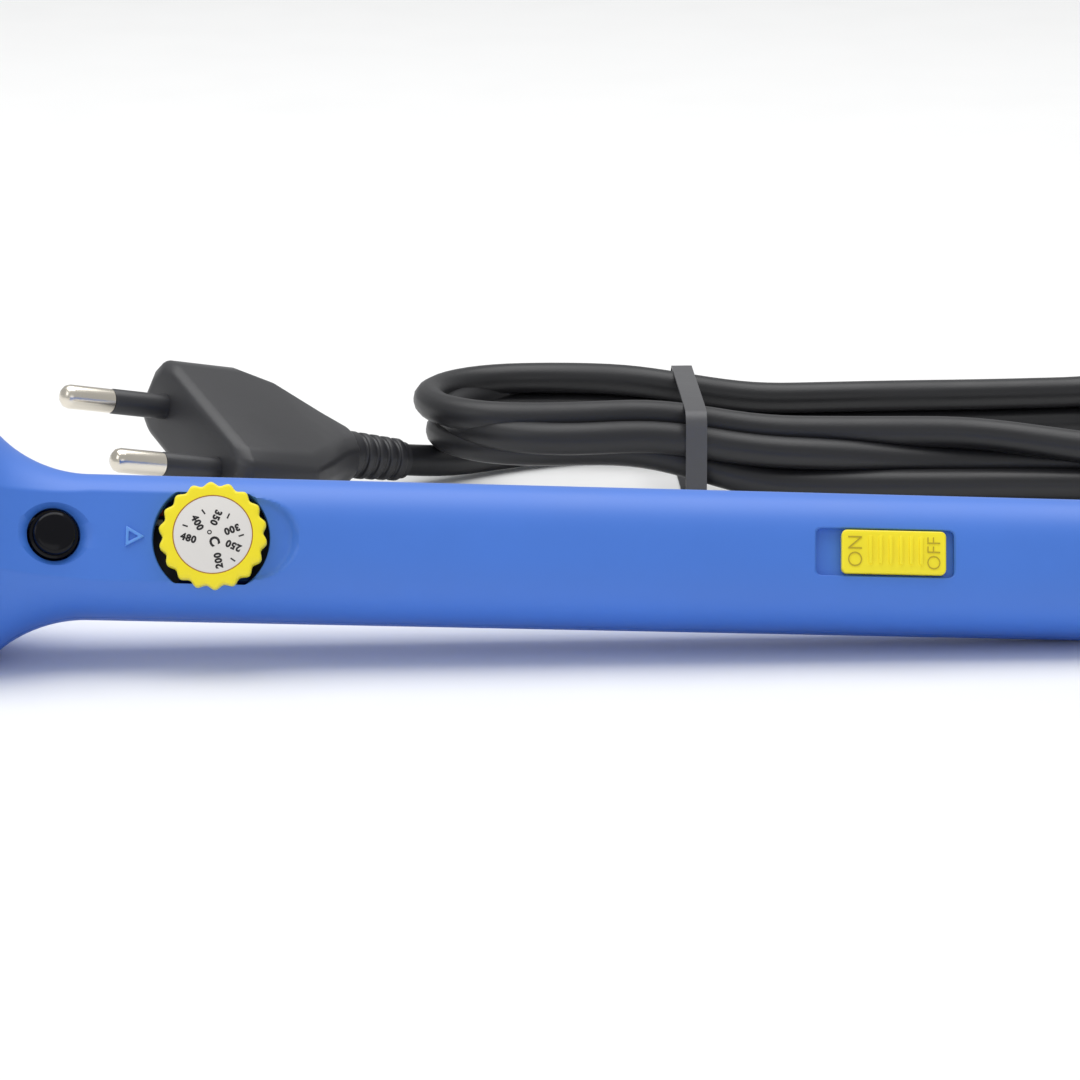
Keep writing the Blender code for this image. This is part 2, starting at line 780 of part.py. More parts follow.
def make_dial():
    base = dial_base()
    top = base + DIAL_THICKNESS
    steps = 4 * DIAL_TEETH

    def tooth(k):
        wave = 0.5 - 0.5 * math.cos(2.0 * math.pi * k / 4.0)
        return 1.0 - wave * DIAL_TOOTH_DEPTH / DIAL_RADIUS

    chamfer = 0.35 * MM
    profile = [(base, DIAL_RADIUS - chamfer), (base + chamfer, DIAL_RADIUS)]
    profile += [(top - chamfer, DIAL_RADIUS), (top, DIAL_RADIUS - chamfer)]
    knob = piece("dial_knob", upright(profile, 0.0, sides=steps, factor=tooth), "yellow_plastic", DIAL_AXIS)
    hub = [(base - DIAL_HUB_DEPTH, DIAL_HUB_RADIUS), (base + DIAL_THICKNESS / 2, DIAL_HUB_RADIUS)]
    join(knob, upright(hub, 0.0, sides=ROUND))
    seat = top - DIAL_FACE_THICKNESS
    recess = DIAL_FACE_RADIUS + GAP / 2
    cut(knob, upright([(seat - GAP, recess), (top + 1 * MM, recess)], 0.0, sides=32))
    bore = SHAFT_RADIUS + GAP
    cut(knob, upright([(base - 2 * DIAL_HUB_DEPTH, bore), (base, bore)], 0.0))
    face = upright([(seat, DIAL_FACE_RADIUS), (top, DIAL_FACE_RADIUS)], 0.0, sides=32)
    piece("dial_face", face, "dial_print", DIAL_AXIS)
    low = BOARD_TOP + GAP + POT_HEIGHT - SHAFT_ENGAGEMENT
    piece("dial_shaft", upright([(low, SHAFT_RADIUS), (base - GAP, SHAFT_RADIUS)], 0.0), "nickel", DIAL_AXIS)


def make_potentiometer():
    low = BOARD_TOP + GAP
    half = POT_SIDE / 2.0
    body = piece(
        "potentiometer",
        bevelled_box((DIAL_X - half, -half, low), (DIAL_X + half, half, low + POT_HEIGHT), 0.4 * MM),
        "component_black",
        IRON,
    )
    well = SHAFT_RADIUS + GAP
    floor = low + POT_HEIGHT - SHAFT_ENGAGEMENT - GAP
    cut(body, upright([(floor, well), (low + 2 * POT_HEIGHT, well)], DIAL_X))


def make_indicator():
    seat = panel_height(LENS_X)
    top = seat + LENS_PROUD
    profile = [
        (seat - LENS_DEPTH, LENS_RADIUS),
        (seat + LENS_PROUD * 0.4, LENS_RADIUS),
        (seat + LENS_PROUD * 0.45, LENS_RADIUS - 0.5 * MM),
        (top - 0.25 * MM, LENS_RADIUS - 0.5 * MM),
        (top, LENS_RADIUS - 0.8 * MM),
    ]
    piece("indicator_lens", upright(profile, LENS_X, sides=ROUND), "smoked_lens", IRON)
    head = seat - LENS_DEPTH - GAP
    profile = [
        (head - LED_HEIGHT, LED_RADIUS),
        (head - LED_RADIUS, LED_RADIUS),
        (head - LED_RADIUS * 0.5, LED_RADIUS * 0.87),
        (head, LED_RADIUS * 0.3),
    ]
    piece("indicator_light", upright(profile, LENS_X), "led_red", IRON)


# Switch


def switch_floor():
    return body_radius(SWITCH_FRONT) - SWITCH_RECESS


def cap_middle():
    return SWITCH_FRONT + SWITCH_LENGTH - CAP_END_GAP - CAP_LENGTH / 2.0


def make_switch():
    floor = switch_floor()
    under = floor - SWITCH_FLOOR_THICKNESS - GAP
    middle = cap_middle()
    cap_low = floor + GAP
    cap_high = body_radius(middle) + CAP_PROUD
    cap = piece(
        "switch_cap",
        bevelled_box(
            (middle - CAP_LENGTH / 2, -CAP_WIDTH / 2, cap_low),
            (middle + CAP_LENGTH / 2, CAP_WIDTH / 2, cap_high),
            0.3 * MM,
        ),
        "yellow_plastic",
        SWITCH_AXIS,
    )
    for k in range(RIB_COUNT):
        x = middle + (k - (RIB_COUNT - 1) / 2) * RIB_PITCH
        join(
            cap,
            box(
                (x - RIB_WIDTH / 2, -RIB_LENGTH / 2, cap_high - RIB_HEIGHT),
                (x + RIB_WIDTH / 2, RIB_LENGTH / 2, cap_high + RIB_HEIGHT),
            ),
        )
    half = LEVER_SIDE / 2.0
    lever_top = cap_low + 0.8 * MM
    room = half + GAP
    cut(cap, box((middle - room, -room, cap_low - 1 * MM), (middle + room, room, lever_top + GAP)))
    lever_low = under - 1.4 * MM
    lever = box((middle - half, -half, lever_low), (middle + half, half, lever_top))
    piece("switch_lever", lever, "black_plastic", SWITCH_AXIS)
    centre = middle - SWITCH_TRAVEL / 2.0
    body = piece(
        "switch_body",
        bevelled_box(
            (centre - SWITCH_BODY_LENGTH / 2, -SWITCH_BODY_WIDTH / 2, under - SWITCH_BODY_HEIGHT),
            (centre + SWITCH_BODY_LENGTH / 2, SWITCH_BODY_WIDTH / 2, under),
            0.3 * MM,
        ),
        "component_black",
        IRON,
    )
    reach = SWITCH_TRAVEL / 2.0 + half + 2 * GAP
    slot_low = (centre - reach, -half - GAP, lever_low - GAP)
    cut(body, box(slot_low, (centre + reach, half + GAP, under + 1 * MM)))


# Electronics


def make_board():
    half = BOARD_WIDTH / 2.0
    low = BOARD_TOP - BOARD_THICKNESS
    board = box((BOARD_FRONT, -half, low), (BOARD_REAR, half, BOARD_TOP))
    piece("circuit_board", board, "board_green", IRON)
    base = BOARD_TOP + GAP

    def block(name, look, x, y, length, width, height, round_size=0.3 * MM):
        low_corner = (x - length / 2, y - width / 2, base)
        high_corner = (x + length / 2, y + width / 2, base + height)
        piece(name, bevelled_box(low_corner, high_corner, round_size), look, IRON)

    def lying(name, look, x, y, length, radius):
        profile = [
            (-length / 2, radius * 0.8),
            (-length / 2 + radius * 0.2, radius),
            (length / 2 - radius * 0.2, radius),
            (length / 2, radius * 0.8),
        ]
        bm = turned(profile, SMALL_ROUND)
        bmesh.ops.translate(bm, verts=bm.verts, vec=(x, y, base + radius))
        piece(name, bm, look, IRON)

    chip_x = DIAL_X + CHIP_BEHIND_DIAL
    triac_x = DIAL_X + TRIAC_BEHIND_DIAL
    capacitor_x = DIAL_X + CAPACITOR_BEHIND_DIAL
    film_x = BOARD_REAR - FILM_FROM_REAR
    fuse_x = BOARD_REAR - FUSE_FROM_REAR
    block("control_chip", "component_black", chip_x, 0.0, 9.2 * MM, 6.2 * MM, 3.2 * MM)
    block("triac", "component_black", triac_x, 0.0, 4.6 * MM, 9.6 * MM, 5.6 * MM)
    lying("smoothing_capacitor", "capacitor_sleeve", capacitor_x, 1.6 * MM, 11.0 * MM, 2.5 * MM)
    block("film_capacitor", "component_tan", film_x, 1.2 * MM, 10.0 * MM, 5.0 * MM, 5.4 * MM, 0.5 * MM)
    lying("dropper_resistor", "component_tan", film_x, -3.8 * MM, 9.0 * MM, 1.6 * MM)
    lying("glass_fuse", "fuse_glass", fuse_x, 0.0, 10.0 * MM, 1.8 * MM)
    lying("rectifier_diode", "component_black", capacitor_x, -3.6 * MM, 5.0 * MM, 1.3 * MM)


# Cord end inside the handle


def clamp_seat():
    return CORD_RADIUS + GAP


def boot_flange_rear():
    return HANDLE_LENGTH - WALL - GAP


def inner_cord_span():
    rear = boot_flange_rear() - BOOT_FLANGE_THICKNESS - GAP
    return rear - INNER_CORD_LENGTH, rear


def make_clamp():
    half = CLAMP_WIDTH / 2.0
    low = clamp_seat()
    clamp = piece(
        "cord_clamp",
        bevelled_box(
            (CLAMP_X - CLAMP_LENGTH / 2, -half, low),
            (CLAMP_X + CLAMP_LENGTH / 2, half, low + CLAMP_THICKNESS),
            0.3 * MM,
        ),
        "steel",
        IRON,
    )
    for number, side in ((1, -1), (2, 1)):
        y = side * CLAMP_SCREW_SIDE
        hole = CLAMP_SCREW_RADIUS + GAP
        cut(clamp, upright([(low - 1 * MM, hole), (low + 2 * CLAMP_THICKNESS, hole)], CLAMP_X, y))
        head = low + CLAMP_THICKNESS + GAP
        foot = -body_radius(CLAMP_X) + WALL + 1.4 * MM
        profile = [
            (foot, CLAMP_SCREW_RADIUS * 0.4),
            (foot + CLAMP_SCREW_RADIUS, CLAMP_SCREW_RADIUS),
            (head, CLAMP_SCREW_RADIUS),
            (head, 1.5 * MM),
            (head + 0.9 * MM, 1.3 * MM),
        ]
        piece(f"clamp_screw_{number}", upright(profile, CLAMP_X, y), "steel", IRON)


def make_strain_relief():
    rear = boot_flange_rear()
    profile = [
        (rear - BOOT_FLANGE_THICKNESS, BOOT_FLANGE_RADIUS),
        (rear, BOOT_FLANGE_RADIUS),
        (rear, BOOT_RADIUS),
        (HANDLE_LENGTH + 1.5 * MM, BOOT_RADIUS),
    ]
    start = HANDLE_LENGTH + 1.5 * MM
    pitch = (BOOT_LENGTH - 3.0 * MM) / BOOT_GROOVES
    for k in range(BOOT_GROOVES):
        x = start + k * pitch
        radius = BOOT_RADIUS + (BOOT_END_RADIUS - BOOT_RADIUS) * (k + 0.5) / BOOT_GROOVES
        profile += [
            (x + pitch * 0.1, radius - BOOT_GROOVE_DEPTH),
            (x + pitch * 0.4, radius - BOOT_GROOVE_DEPTH),
            (x + pitch * 0.5, radius),
            (x + pitch, radius),
        ]
    profile.append((HANDLE_LENGTH + BOOT_LENGTH, BOOT_END_RADIUS - 0.4 * MM))
    piece("strain_relief", turned(profile, 16), "black_rubber", IRON)


def make_inner_cord():
    front, rear = inner_cord_span()
    piece("cord_inner_end", turned([(front, CORD_RADIUS), (rear, CORD_RADIUS)], 16), "cord_jacket", IRON)
    start = front - GAP - CORE_RADIUS
    switch_rear = cap_middle() - SWITCH_TRAVEL / 2.0 + SWITCH_BODY_LENGTH / 2.0
    low = switch_floor() - SWITCH_FLOOR_THICKNESS - GAP - SWITCH_BODY_HEIGHT
    beside = BOSS_RADIUS + GAP + 2.0 * CORE_RADIUS
    end_gap = GAP + CORE_RADIUS / 2.0
    live = [
        (start, 1.1 * MM, 0.0),
        (start - 1.2 * MM, 4.2 * MM, 0.4 * MM),
        (SCREW_XS[2], beside, 0.8 * MM),
        (switch_rear + 2.6 * MM, 3.6 * MM, low + 1.5 * MM),
        (switch_rear + end_gap, 1.8 * MM, low + 2.0 * MM),
    ]
    tube_through("live_wire", smooth_route(live, 3), CORE_RADIUS, "wire_red", IRON)
    under = low - GAP - CORE_RADIUS
    neutral = [
        (start, -1.1 * MM, 0.0),
        (start - 1.2 * MM, -4.2 * MM, -0.4 * MM),
        (SCREW_XS[2], -beside, -0.6 * MM),
        (SCREW_XS[2] - 6.0 * MM, -4.8 * MM, under - 0.8 * MM),
        (switch_rear - SWITCH_BODY_LENGTH + 4.9 * MM, -4.6 * MM, under - 0.8 * MM),
        (SCREW_XS[1], -5.0 * MM, under - 0.8 * MM),
        (BOARD_REAR - 1.5 * MM, -4.4 * MM, BOARD_TOP + GAP + CORE_RADIUS),
    ]
    tube_through("neutral_wire", smooth_route(neutral, 4), CORE_RADIUS, "wire_blue", IRON)
    switch_front = switch_rear - SWITCH_BODY_LENGTH
    switched = [
        (switch_front - end_gap, 1.8 * MM, low + 2.0 * MM),
        (switch_front - 3.0 * MM, 3.4 * MM, low + 1.2 * MM),
        (SCREW_XS[1], 5.0 * MM, 0.8 * MM),
        (BOARD_REAR - 1.5 * MM, 4.4 * MM, BOARD_TOP + GAP + CORE_RADIUS),
    ]
    tube_through("switched_wire", smooth_route(switched, 4), CORE_RADIUS, "wire_red", IRON)


# Free cord, hank and plug, in table coordinates


def hank_outline(grow=0.0):
    radius = HANK_WIDTH / 2.0
    outline = []
    for centre, first in ((HANK_RIGHT - radius, -90.0), (HANK_LEFT + radius, 90.0)):
        for k in range(9):
            angle = math.radians(first + 22.5 * k)
            reach = radius + grow
            outline.append((centre + reach * math.cos(angle), HANK_Y + reach * math.sin(angle)))
    return outline


def make_hank():
    levels = (
        (GAP, -1.5 * MM),
        (GAP + 2.0 * MM, 0.0),
        (HANK_HEIGHT - 2.0 * MM, 0.0),
        (HANK_HEIGHT, -1.5 * MM),
    )
    rings = [[(x, y, z) for x, y in hank_outline(grow)] for z, grow in levels]
    hank = piece("cord_hank", loft(rings), "cord_jacket", None)
    half = TIE_WIDTH / 2.0
    depth = TIE_THICKNESS
    top = HANK_HEIGHT - depth
    edge = HANK_WIDTH / 2.0 - depth
    low_end = (TIE_X - half - GAP, HANK_Y - 2 * edge, -1 * MM)
    groove = box(low_end, (TIE_X + half + GAP, HANK_Y + 2 * edge, 2 * HANK_HEIGHT))
    core = box((TIE_X - TIE_WIDTH, HANK_Y - edge, GAP + depth), (TIE_X + TIE_WIDTH, HANK_Y + edge, top))
    cutter = add_object("tie_core", core, None)
    cutter.hide_render = True
    cutter.display_type = "WIRE"
    cut(hank, groove)
    tool = hank.modifiers[-1].object
    hollow = tool.modifiers.new("Boolean", "BOOLEAN")
    hollow.operation = "DIFFERENCE"
    hollow.object = cutter
    tie = piece(
        "cord_tie",
        box((TIE_X - half, HANK_Y - edge - depth, GAP), (TIE_X + half, HANK_Y + edge + depth, HANK_HEIGHT)),
        "tie_grey",
        None,
    )
    room = edge + GAP
    cut(tie, box((TIE_X - 2 * half, HANK_Y - room, depth), (TIE_X + 2 * half, HANK_Y + room, top + GAP)))


def make_cord(exit_point, exit_direction):
    lead = [
        exit_point,
        exit_point + exit_direction * 8.0 * MM,
        exit_point + exit_direction * 16.0 * MM + Vector((0.0, 0.0010, -0.0016)),
        Vector((0.1690, 0.0050, 0.0042)),
        Vector((0.1790, 0.0130, 0.0029)),
        Vector((0.1860, 0.0250, 0.0029)),
        Vector((0.1900, 0.0420, 0.0029)),
        Vector((0.1900, 0.0600, 0.0030)),
        Vector((0.1870, 0.0770, 0.0034)),
        Vector((0.1800, 0.0920, 0.0042)),
        Vector((0.1705, 0.1015, 0.0054)),
        Vector((HANK_RIGHT + GAP, HANK_Y, 0.0060)),
    ]
    tube_through("cord_lead", smooth_route(lead, 3), CORD_RADIUS, "cord_jacket")
    tail_end = PLUG_FACE - PLUG_DIRECTION * (PLUG_LENGTH + GAP)
    tail = [
        Vector((HANK_LEFT - GAP, HANK_Y, 0.0045)),
        Vector((HANK_LEFT - 5.0 * MM, HANK_Y - 0.6 * MM, 0.0038)),
        tail_end - PLUG_DIRECTION * 4.0 * MM,
        tail_end,
    ]
    tube_through("cord_tail", smooth_route(tail, 3), CORD_RADIUS, "cord_jacket")


def make_plug():
    """A flat two-pin plug: a hexagonal block at the face that tapers to the cord."""
    across = (PLUG_ACROSS - PLUG_DIRECTION * PLUG_ACROSS.dot(PLUG_DIRECTION)).normalized()
    up = PLUG_DIRECTION.cross(across)
    axes = Matrix((-PLUG_DIRECTION, across, up)).transposed().to_4x4()
    holder = empty("plug_frame", (0.0, 0.0, 0.0))
    holder.matrix_world = Matrix.Translation(PLUG_FACE) @ axes
    stations = (
        (0.0, 0.42, 0.40),
        (1.2 * MM, 0.5, 0.5),
        (14.0 * MM, 0.5, 0.5),
        (19.0 * MM, 0.40, 0.5),
        (25.0 * MM, 0.24, 0.42),
        (31.0 * MM, 0.15, 0.33),
    )
    rings = []
    for x, wide, thick in stations:
        w = wide * PLUG_WIDTH
        t = thick * PLUG_THICKNESS
        c = min(0.35 * w, 0.75 * t)
        rings.append([(x, w, t - c), (x, w - c, t), (x, -w + c, t), (x, -w, t - c),
                      (x, -w, c - t), (x, -w + c, -t), (x, w - c, -t), (x, w, c - t)])
    neck = CORD_RADIUS + 0.9 * MM
    for x in (34.0 * MM, PLUG_LENGTH):
        ring = []
        for k in range(8):
            angle = math.radians(22.5 + 45.0 * k)
            ring.append((x, neck * math.cos(angle), neck * math.sin(angle)))
        rings.append(ring)
        neck -= 0.5 * MM
    body = piece("plug_body", loft(rings), "black_rubber", holder)
    for number, side in ((1, -1), (2, 1)):
        y = side * PIN_SPACING / 2.0
        socket = 6.0 * MM
        sleeve = PIN_RADIUS
        core = PIN_RADIUS - PIN_SLEEVE_WALL - 0.1 * MM
        cut_bm = turned([(-1 * MM, sleeve + GAP), (socket, sleeve + GAP)], SMALL_ROUND)
        bmesh.ops.translate(cut_bm, verts=cut_bm.verts, vec=(0.0, y, 0.0))
        cut(body, cut_bm)
        pin = turned(
            [
                (-PIN_LENGTH, PIN_RADIUS * 0.6),
                (-PIN_LENGTH + 1.0 * MM, PIN_RADIUS),
                (-PIN_SLEEVE_LENGTH - GAP, PIN_RADIUS),
                (-PIN_SLEEVE_LENGTH - GAP, core - GAP),
                (socket - GAP, core - GAP),
            ],
            16,
        )
        bmesh.ops.translate(pin, verts=pin.verts, vec=(0.0, y, 0.0))
        piece(f"plug_pin_{number}", pin, "nickel", holder)
        front = -PIN_SLEEVE_LENGTH
        rear = socket - GAP
        cover = turned_tube([(front, core), (front, sleeve), (rear, sleeve), (rear, core)], 16)
        bmesh.ops.translate(cover, verts=cover.verts, vec=(0.0, y, 0.0))
        piece(f"pin_sleeve_{number}", cover, "black_plastic", holder)


# Laying the iron on the table


def support(radius, squareness):
    """Height of a rolled section's axis over the table."""
    if squareness <= 2.0:
        return radius
    power = squareness / (squareness - 1.0)
    total = abs(math.sin(ROLL)) ** power + abs(math.cos(ROLL)) ** power
    return radius * total ** (1.0 / power)


def corners(objects):
    """Lowest and highest corners of the objects' evaluated meshes."""
    bpy.context.view_layer.update()
    graph = bpy.context.evaluated_depsgraph_get()
    low = Vector((math.inf,) * 3)
    high = Vector((-math.inf,) * 3)
    for each in objects:
        seen = each.evaluated_get(graph)
        mesh = seen.to_mesh()
        for vert in mesh.vertices:
            place = seen.matrix_world @ vert.co
            low = Vector(map(min, low, place))
            high = Vector(map(max, high, place))
        seen.to_mesh_clear()
    return low, high


def lay_down():
    front_x = bell_edge()
    rear_x = HANDLE_LENGTH - REAR_ROUND
    drop = support(BELL_RADIUS, 2.0) - support(body_radius(rear_x), SQUARENESS)
    pitch = math.atan2(drop, rear_x - front_x)
    turn = Matrix.Rotation(pitch, 4, "Y") @ Matrix.Rotation(ROLL, 4, "X")
    IRON.matrix_world = turn
    pieces = [o for o in bpy.data.objects if o.type in {"MESH", "CURVE"} and not o.hide_render]
    low, high = corners(pieces)
    shift = Vector((-(low.x + high.x) / 2.0, -(low.y + high.y) / 2.0, -low.z))
    IRON.matrix_world = Matrix.Translation(shift) @ turn


clear_scene()
IRON = empty("iron_frame", (0.0, 0.0, 0.0))
BARREL_AXIS = empty("barrel_axis", (0.0, 0.0, 0.0), IRON)
NUT_AXIS = empty("nut_axis", (0.0, 0.0, 0.0), BARREL_AXIS)
DIAL_AXIS = empty("dial_axis", (DIAL_X, 0.0, 0.0), IRON)
SWITCH_AXIS = empty("switch_axis", (0.0, 0.0, 0.0), IRON)

make_top_shell()
make_bottom_shell()
make_shell_screws()
make_nipple()
make_nut()
make_barrel()
bit_point, bore_end = make_bit()
make_heater(bore_end)
make_dial()
make_potentiometer()
make_indicator()
make_switch()
make_board()
make_clamp()
make_strain_relief()
make_inner_cord()
lay_down()

boot_end = IRON.matrix_world @ Vector((HANDLE_LENGTH + BOOT_LENGTH + GAP, 0.0, 0.0))
boot_direction = (IRON.matrix_world.to_3x3() @ Vector((1.0, 0.0, 0.0))).normalized()
make_cord(boot_end, boot_direction)
make_hank()
make_plug()
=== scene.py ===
import json
import math

import bpy
from mathutils import Matrix, Vector


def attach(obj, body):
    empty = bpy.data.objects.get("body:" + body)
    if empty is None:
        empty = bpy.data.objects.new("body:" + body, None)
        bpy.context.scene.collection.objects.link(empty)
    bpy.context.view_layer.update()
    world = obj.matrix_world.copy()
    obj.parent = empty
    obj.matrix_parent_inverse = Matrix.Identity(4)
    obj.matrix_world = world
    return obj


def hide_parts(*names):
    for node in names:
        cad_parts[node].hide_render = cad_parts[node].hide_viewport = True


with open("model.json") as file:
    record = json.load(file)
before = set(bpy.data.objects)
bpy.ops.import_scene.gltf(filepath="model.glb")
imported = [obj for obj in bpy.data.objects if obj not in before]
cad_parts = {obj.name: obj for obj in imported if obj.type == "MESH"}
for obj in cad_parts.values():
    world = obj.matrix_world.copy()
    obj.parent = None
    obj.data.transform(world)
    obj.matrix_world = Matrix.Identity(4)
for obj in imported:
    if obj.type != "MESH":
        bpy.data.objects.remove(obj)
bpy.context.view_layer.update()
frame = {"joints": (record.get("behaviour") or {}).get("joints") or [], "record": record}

MM = 0.001


# ---------------------------------------------------------------------------
# Camera. A long lens looks along the table at the dial's side of the handle,
# from a little above, and sees most of the handle with the folded cord behind.
# ---------------------------------------------------------------------------

VIEW_AIM = Vector((30.1, 0.0, 15.8)) * MM
VIEW_YAW = math.radians(-1.8)
VIEW_RISE = math.radians(13.9)
VIEW_ROLL = math.radians(-0.23)
VIEW_DISTANCE = 600.0 * MM
VIEW_FIELD = math.radians(14.457)

toward_camera = Vector((
    math.sin(VIEW_YAW) * math.cos(VIEW_RISE),
    -math.cos(VIEW_YAW) * math.cos(VIEW_RISE),
    math.sin(VIEW_RISE),
))
camera_data = bpy.data.cameras.new("product_camera")
camera_data.sensor_fit = "HORIZONTAL"
camera_data.angle = VIEW_FIELD
camera_data.clip_start = 0.01
camera = bpy.data.objects.new("product_camera", camera_data)
bpy.context.scene.collection.objects.link(camera)
facing = (-toward_camera).to_track_quat("-Z", "Y").to_matrix().to_4x4()
camera.matrix_world = (
    Matrix.Translation(VIEW_AIM + toward_camera * VIEW_DISTANCE)
    @ facing
    @ Matrix.Rotation(VIEW_ROLL, 4, "Z")
)
bpy.context.scene.camera = camera


# ---------------------------------------------------------------------------
# Mains cord. Round two-core flex with a black PVC jacket, pushed through an
# extruder, so it is one even tube. It leaves the boot, turns behind the iron
# and is folded into a hank: the last fold runs on to the plug.
# ---------------------------------------------------------------------------

CORD_DIAMETER = 5.2 * MM
HANK_MIDDLE_Y = 104.8 * MM
HANK_LEFT_FOLD = 31.0 * MM
HANK_RIGHT_FOLD = 137.0 * MM
# Each turn's place in the hank: radius of its folds and height of its centre
HANK_SLOTS = (
    (16.1 * MM, 10.7 * MM),
    (20.7 * MM, 8.2 * MM),
    (16.1 * MM, 5.5 * MM),
    (20.7 * MM, 2.9 * MM),
)
# The tie draws the long sides in by this much, and the pull fades out towards both folds
HANK_PINCH = 3.5 * MM
PINCH_WAVE = 14.0 * MM
PINCH_FADE = 36.0 * MM
FOLD_CLEAR = 4.0 * MM
TIE_X = 58.0 * MM
TAIL_LIFT = 3.3 * MM
TAIL_LIFT_FADE = (46.0 * MM, 74.0 * MM)
HANK_ENTRY_X = 130.0 * MM
TAIL_START_X = 60.0 * MM
# How far each turn's left and right fold stops short of the end of the hank
LEFT_STAGGER = (0.0, 8.0 * MM, 2.0 * MM)
RIGHT_STAGGER = (0.0, 3.0 * MM, 0.0)
# Where along its near side each turn starts to slip into the next slot, and over how much of it
SLIP_STARTS = (0.62, 0.34, 0.06)
SLIP_SHARE = 0.34
POINT_STEP = 2.4 * MM
SMOOTHING_PASSES = 3


def eased(value, start, end):
    """0 before start, 1 after end, and a smooth step between."""
    t = min(1.0, max(0.0, (value - start) / (end - start)))
    return t * t * (3.0 - 2.0 * t)


def hank_height(x, height, lifted):
    """Folds at the left end ride over the tail that runs out below them."""
    return height + (TAIL_LIFT * (1.0 - eased(x, *TAIL_LIFT_FADE)) if lifted else 0.0)


def straight_run(x_from, x_to, side, before, after, lifted=True, shift=(0.0, 1.0)):
    """One side of a turn, which slips from its own slot into the next as it goes."""
    count = max(2, round(abs(x_to - x_from) / POINT_STEP))
    for k in range(count):
        share = k / count
        x = x_from + (x_to - x_from) * share
        slip = eased(share, *shift)
        radius = before[0] + (after[0] - before[0]) * slip
        height = before[1] + (after[1] - before[1]) * slip
        pinch = HANK_PINCH * (0.75 + 0.25 * math.cos((x - TIE_X) / PINCH_WAVE))
        pinch *= eased(x, HANK_LEFT_FOLD + FOLD_CLEAR, TIE_X)
        pinch *= 1.0 - eased(x, HANK_RIGHT_FOLD - PINCH_FADE, HANK_RIGHT_FOLD - FOLD_CLEAR)
        y = HANK_MIDDLE_Y + side * (radius - pinch)
        yield Vector((x, y, hank_height(x, height, lifted)))


def fold(centre_x, slot, first_angle):
    """Half a turn at one end of the hank."""
    radius, height = slot
    count = round(math.pi * radius / POINT_STEP)
    for k in range(count):
        angle = math.radians(first_angle) + math.pi * k / count
        x = centre_x + radius * math.cos(angle)
        y = HANK_MIDDLE_Y + radius * math.sin(angle)
        yield Vector((x, y, hank_height(x, height, True)))


def smooth_through(stops, per_span=4):
    """A Catmull-Rom curve through the stops, without the last one."""
    stops = [Vector(stop) for stop in stops]
    ends = [2 * stops[0] - stops[1], *stops, 2 * stops[-1] - stops[-2]]
    route = []
    for a, b, c, d in zip(ends, ends[1:], ends[2:], ends[3:]):
        for k in range(per_span):
            t = k / per_span
            bend = 2 * a - 5 * b + 4 * c - d
            turn = 3 * b - a - 3 * c + d
            route.append((2 * b + (c - a) * t + bend * t**2 + turn * t**3) / 2)
    return route


joints = {joint["name"]: joint for joint in frame["joints"]}
along = -Vector(joints["barrel_draw"]["axis"]).normalized()
dial_out = Vector(joints["dial_turn"]["axis"]).normalized()
across = dial_out.cross(along).normalized()
DIAL_X = 40.5 * MM
DIAL_TOP = 11.5 * MM
BOOT_END_X = 198.0 * MM
iron_origin = Vector(joints["dial_turn"]["pos_m"]) - along * DIAL_X - dial_out * DIAL_TOP
iron = Matrix.Translation(iron_origin) @ Matrix((along, across, dial_out)).transposed().to_4x4()
cord_exit = iron @ Vector((BOOT_END_X, 0.0, 0.0))

lead_stops = [
    cord_exit,
    cord_exit + along * 8.0 * MM,
    cord_exit + along * 16.0 * MM + Vector((0.0, 0.0010, -0.0016)),
    Vector((0.1690, 0.0050, 0.0042)),
    Vector((0.1790, 0.0130, 0.0029)),
    Vector((0.1860, 0.0250, 0.0029)),
    Vector((0.1900, 0.0420, 0.0029)),
    Vector((0.1900, 0.0600, 0.0040)),
    Vector((0.1870, 0.0770, 0.0075)),
    Vector((0.1800, 0.0920, 0.0125)),
    Vector((0.1690, 0.1030, 0.0160)),
    Vector((0.1560, 0.1110, 0.0172)),
    Vector((0.1430, 0.1165, 0.0160)),
]
tail_stops = [
    Vector((0.0500, 0.1205, 0.0031)),
    Vector((0.0390, 0.1178, 0.0030)),
    Vector((0.0280, 0.1130, 0.0029)),
    Vector((0.0190, 0.1065, 0.0032)),
    Vector((0.0111, 0.1012, 0.0046)),
    Vector((0.0080, 0.0991, 0.0054)),
]
route = smooth_through(lead_stops)
route += straight_run(HANK_ENTRY_X, HANK_LEFT_FOLD, 1, HANK_SLOTS[0], HANK_SLOTS[0])
turns = len(HANK_SLOTS) - 1
for turn in range(turns):
    here, after = HANK_SLOTS[turn], HANK_SLOTS[turn + 1]
    left = HANK_LEFT_FOLD + LEFT_STAGGER[turn]
    right = HANK_RIGHT_FOLD - RIGHT_STAGGER[turn]
    slip_start = SLIP_STARTS[turn]
    route += fold(left, here, 90.0)
    route += straight_run(left, right, -1, here, after, shift=(slip_start, slip_start + SLIP_SHARE))
    route += fold(right, after, -90.0)
    last = turn == turns - 1
    end_x = TAIL_START_X if last else HANK_LEFT_FOLD + LEFT_STAGGER[turn + 1]
    route += straight_run(right, end_x, 1, after, after, lifted=not last)
route += smooth_through(tail_stops)
route.append(tail_stops[-1])
for _ in range(SMOOTHING_PASSES):
    inner = [(a + 2 * b + c) / 4 for a, b, c in zip(route, route[1:], route[2:])]
    route = [route[0], *inner, route[-1]]

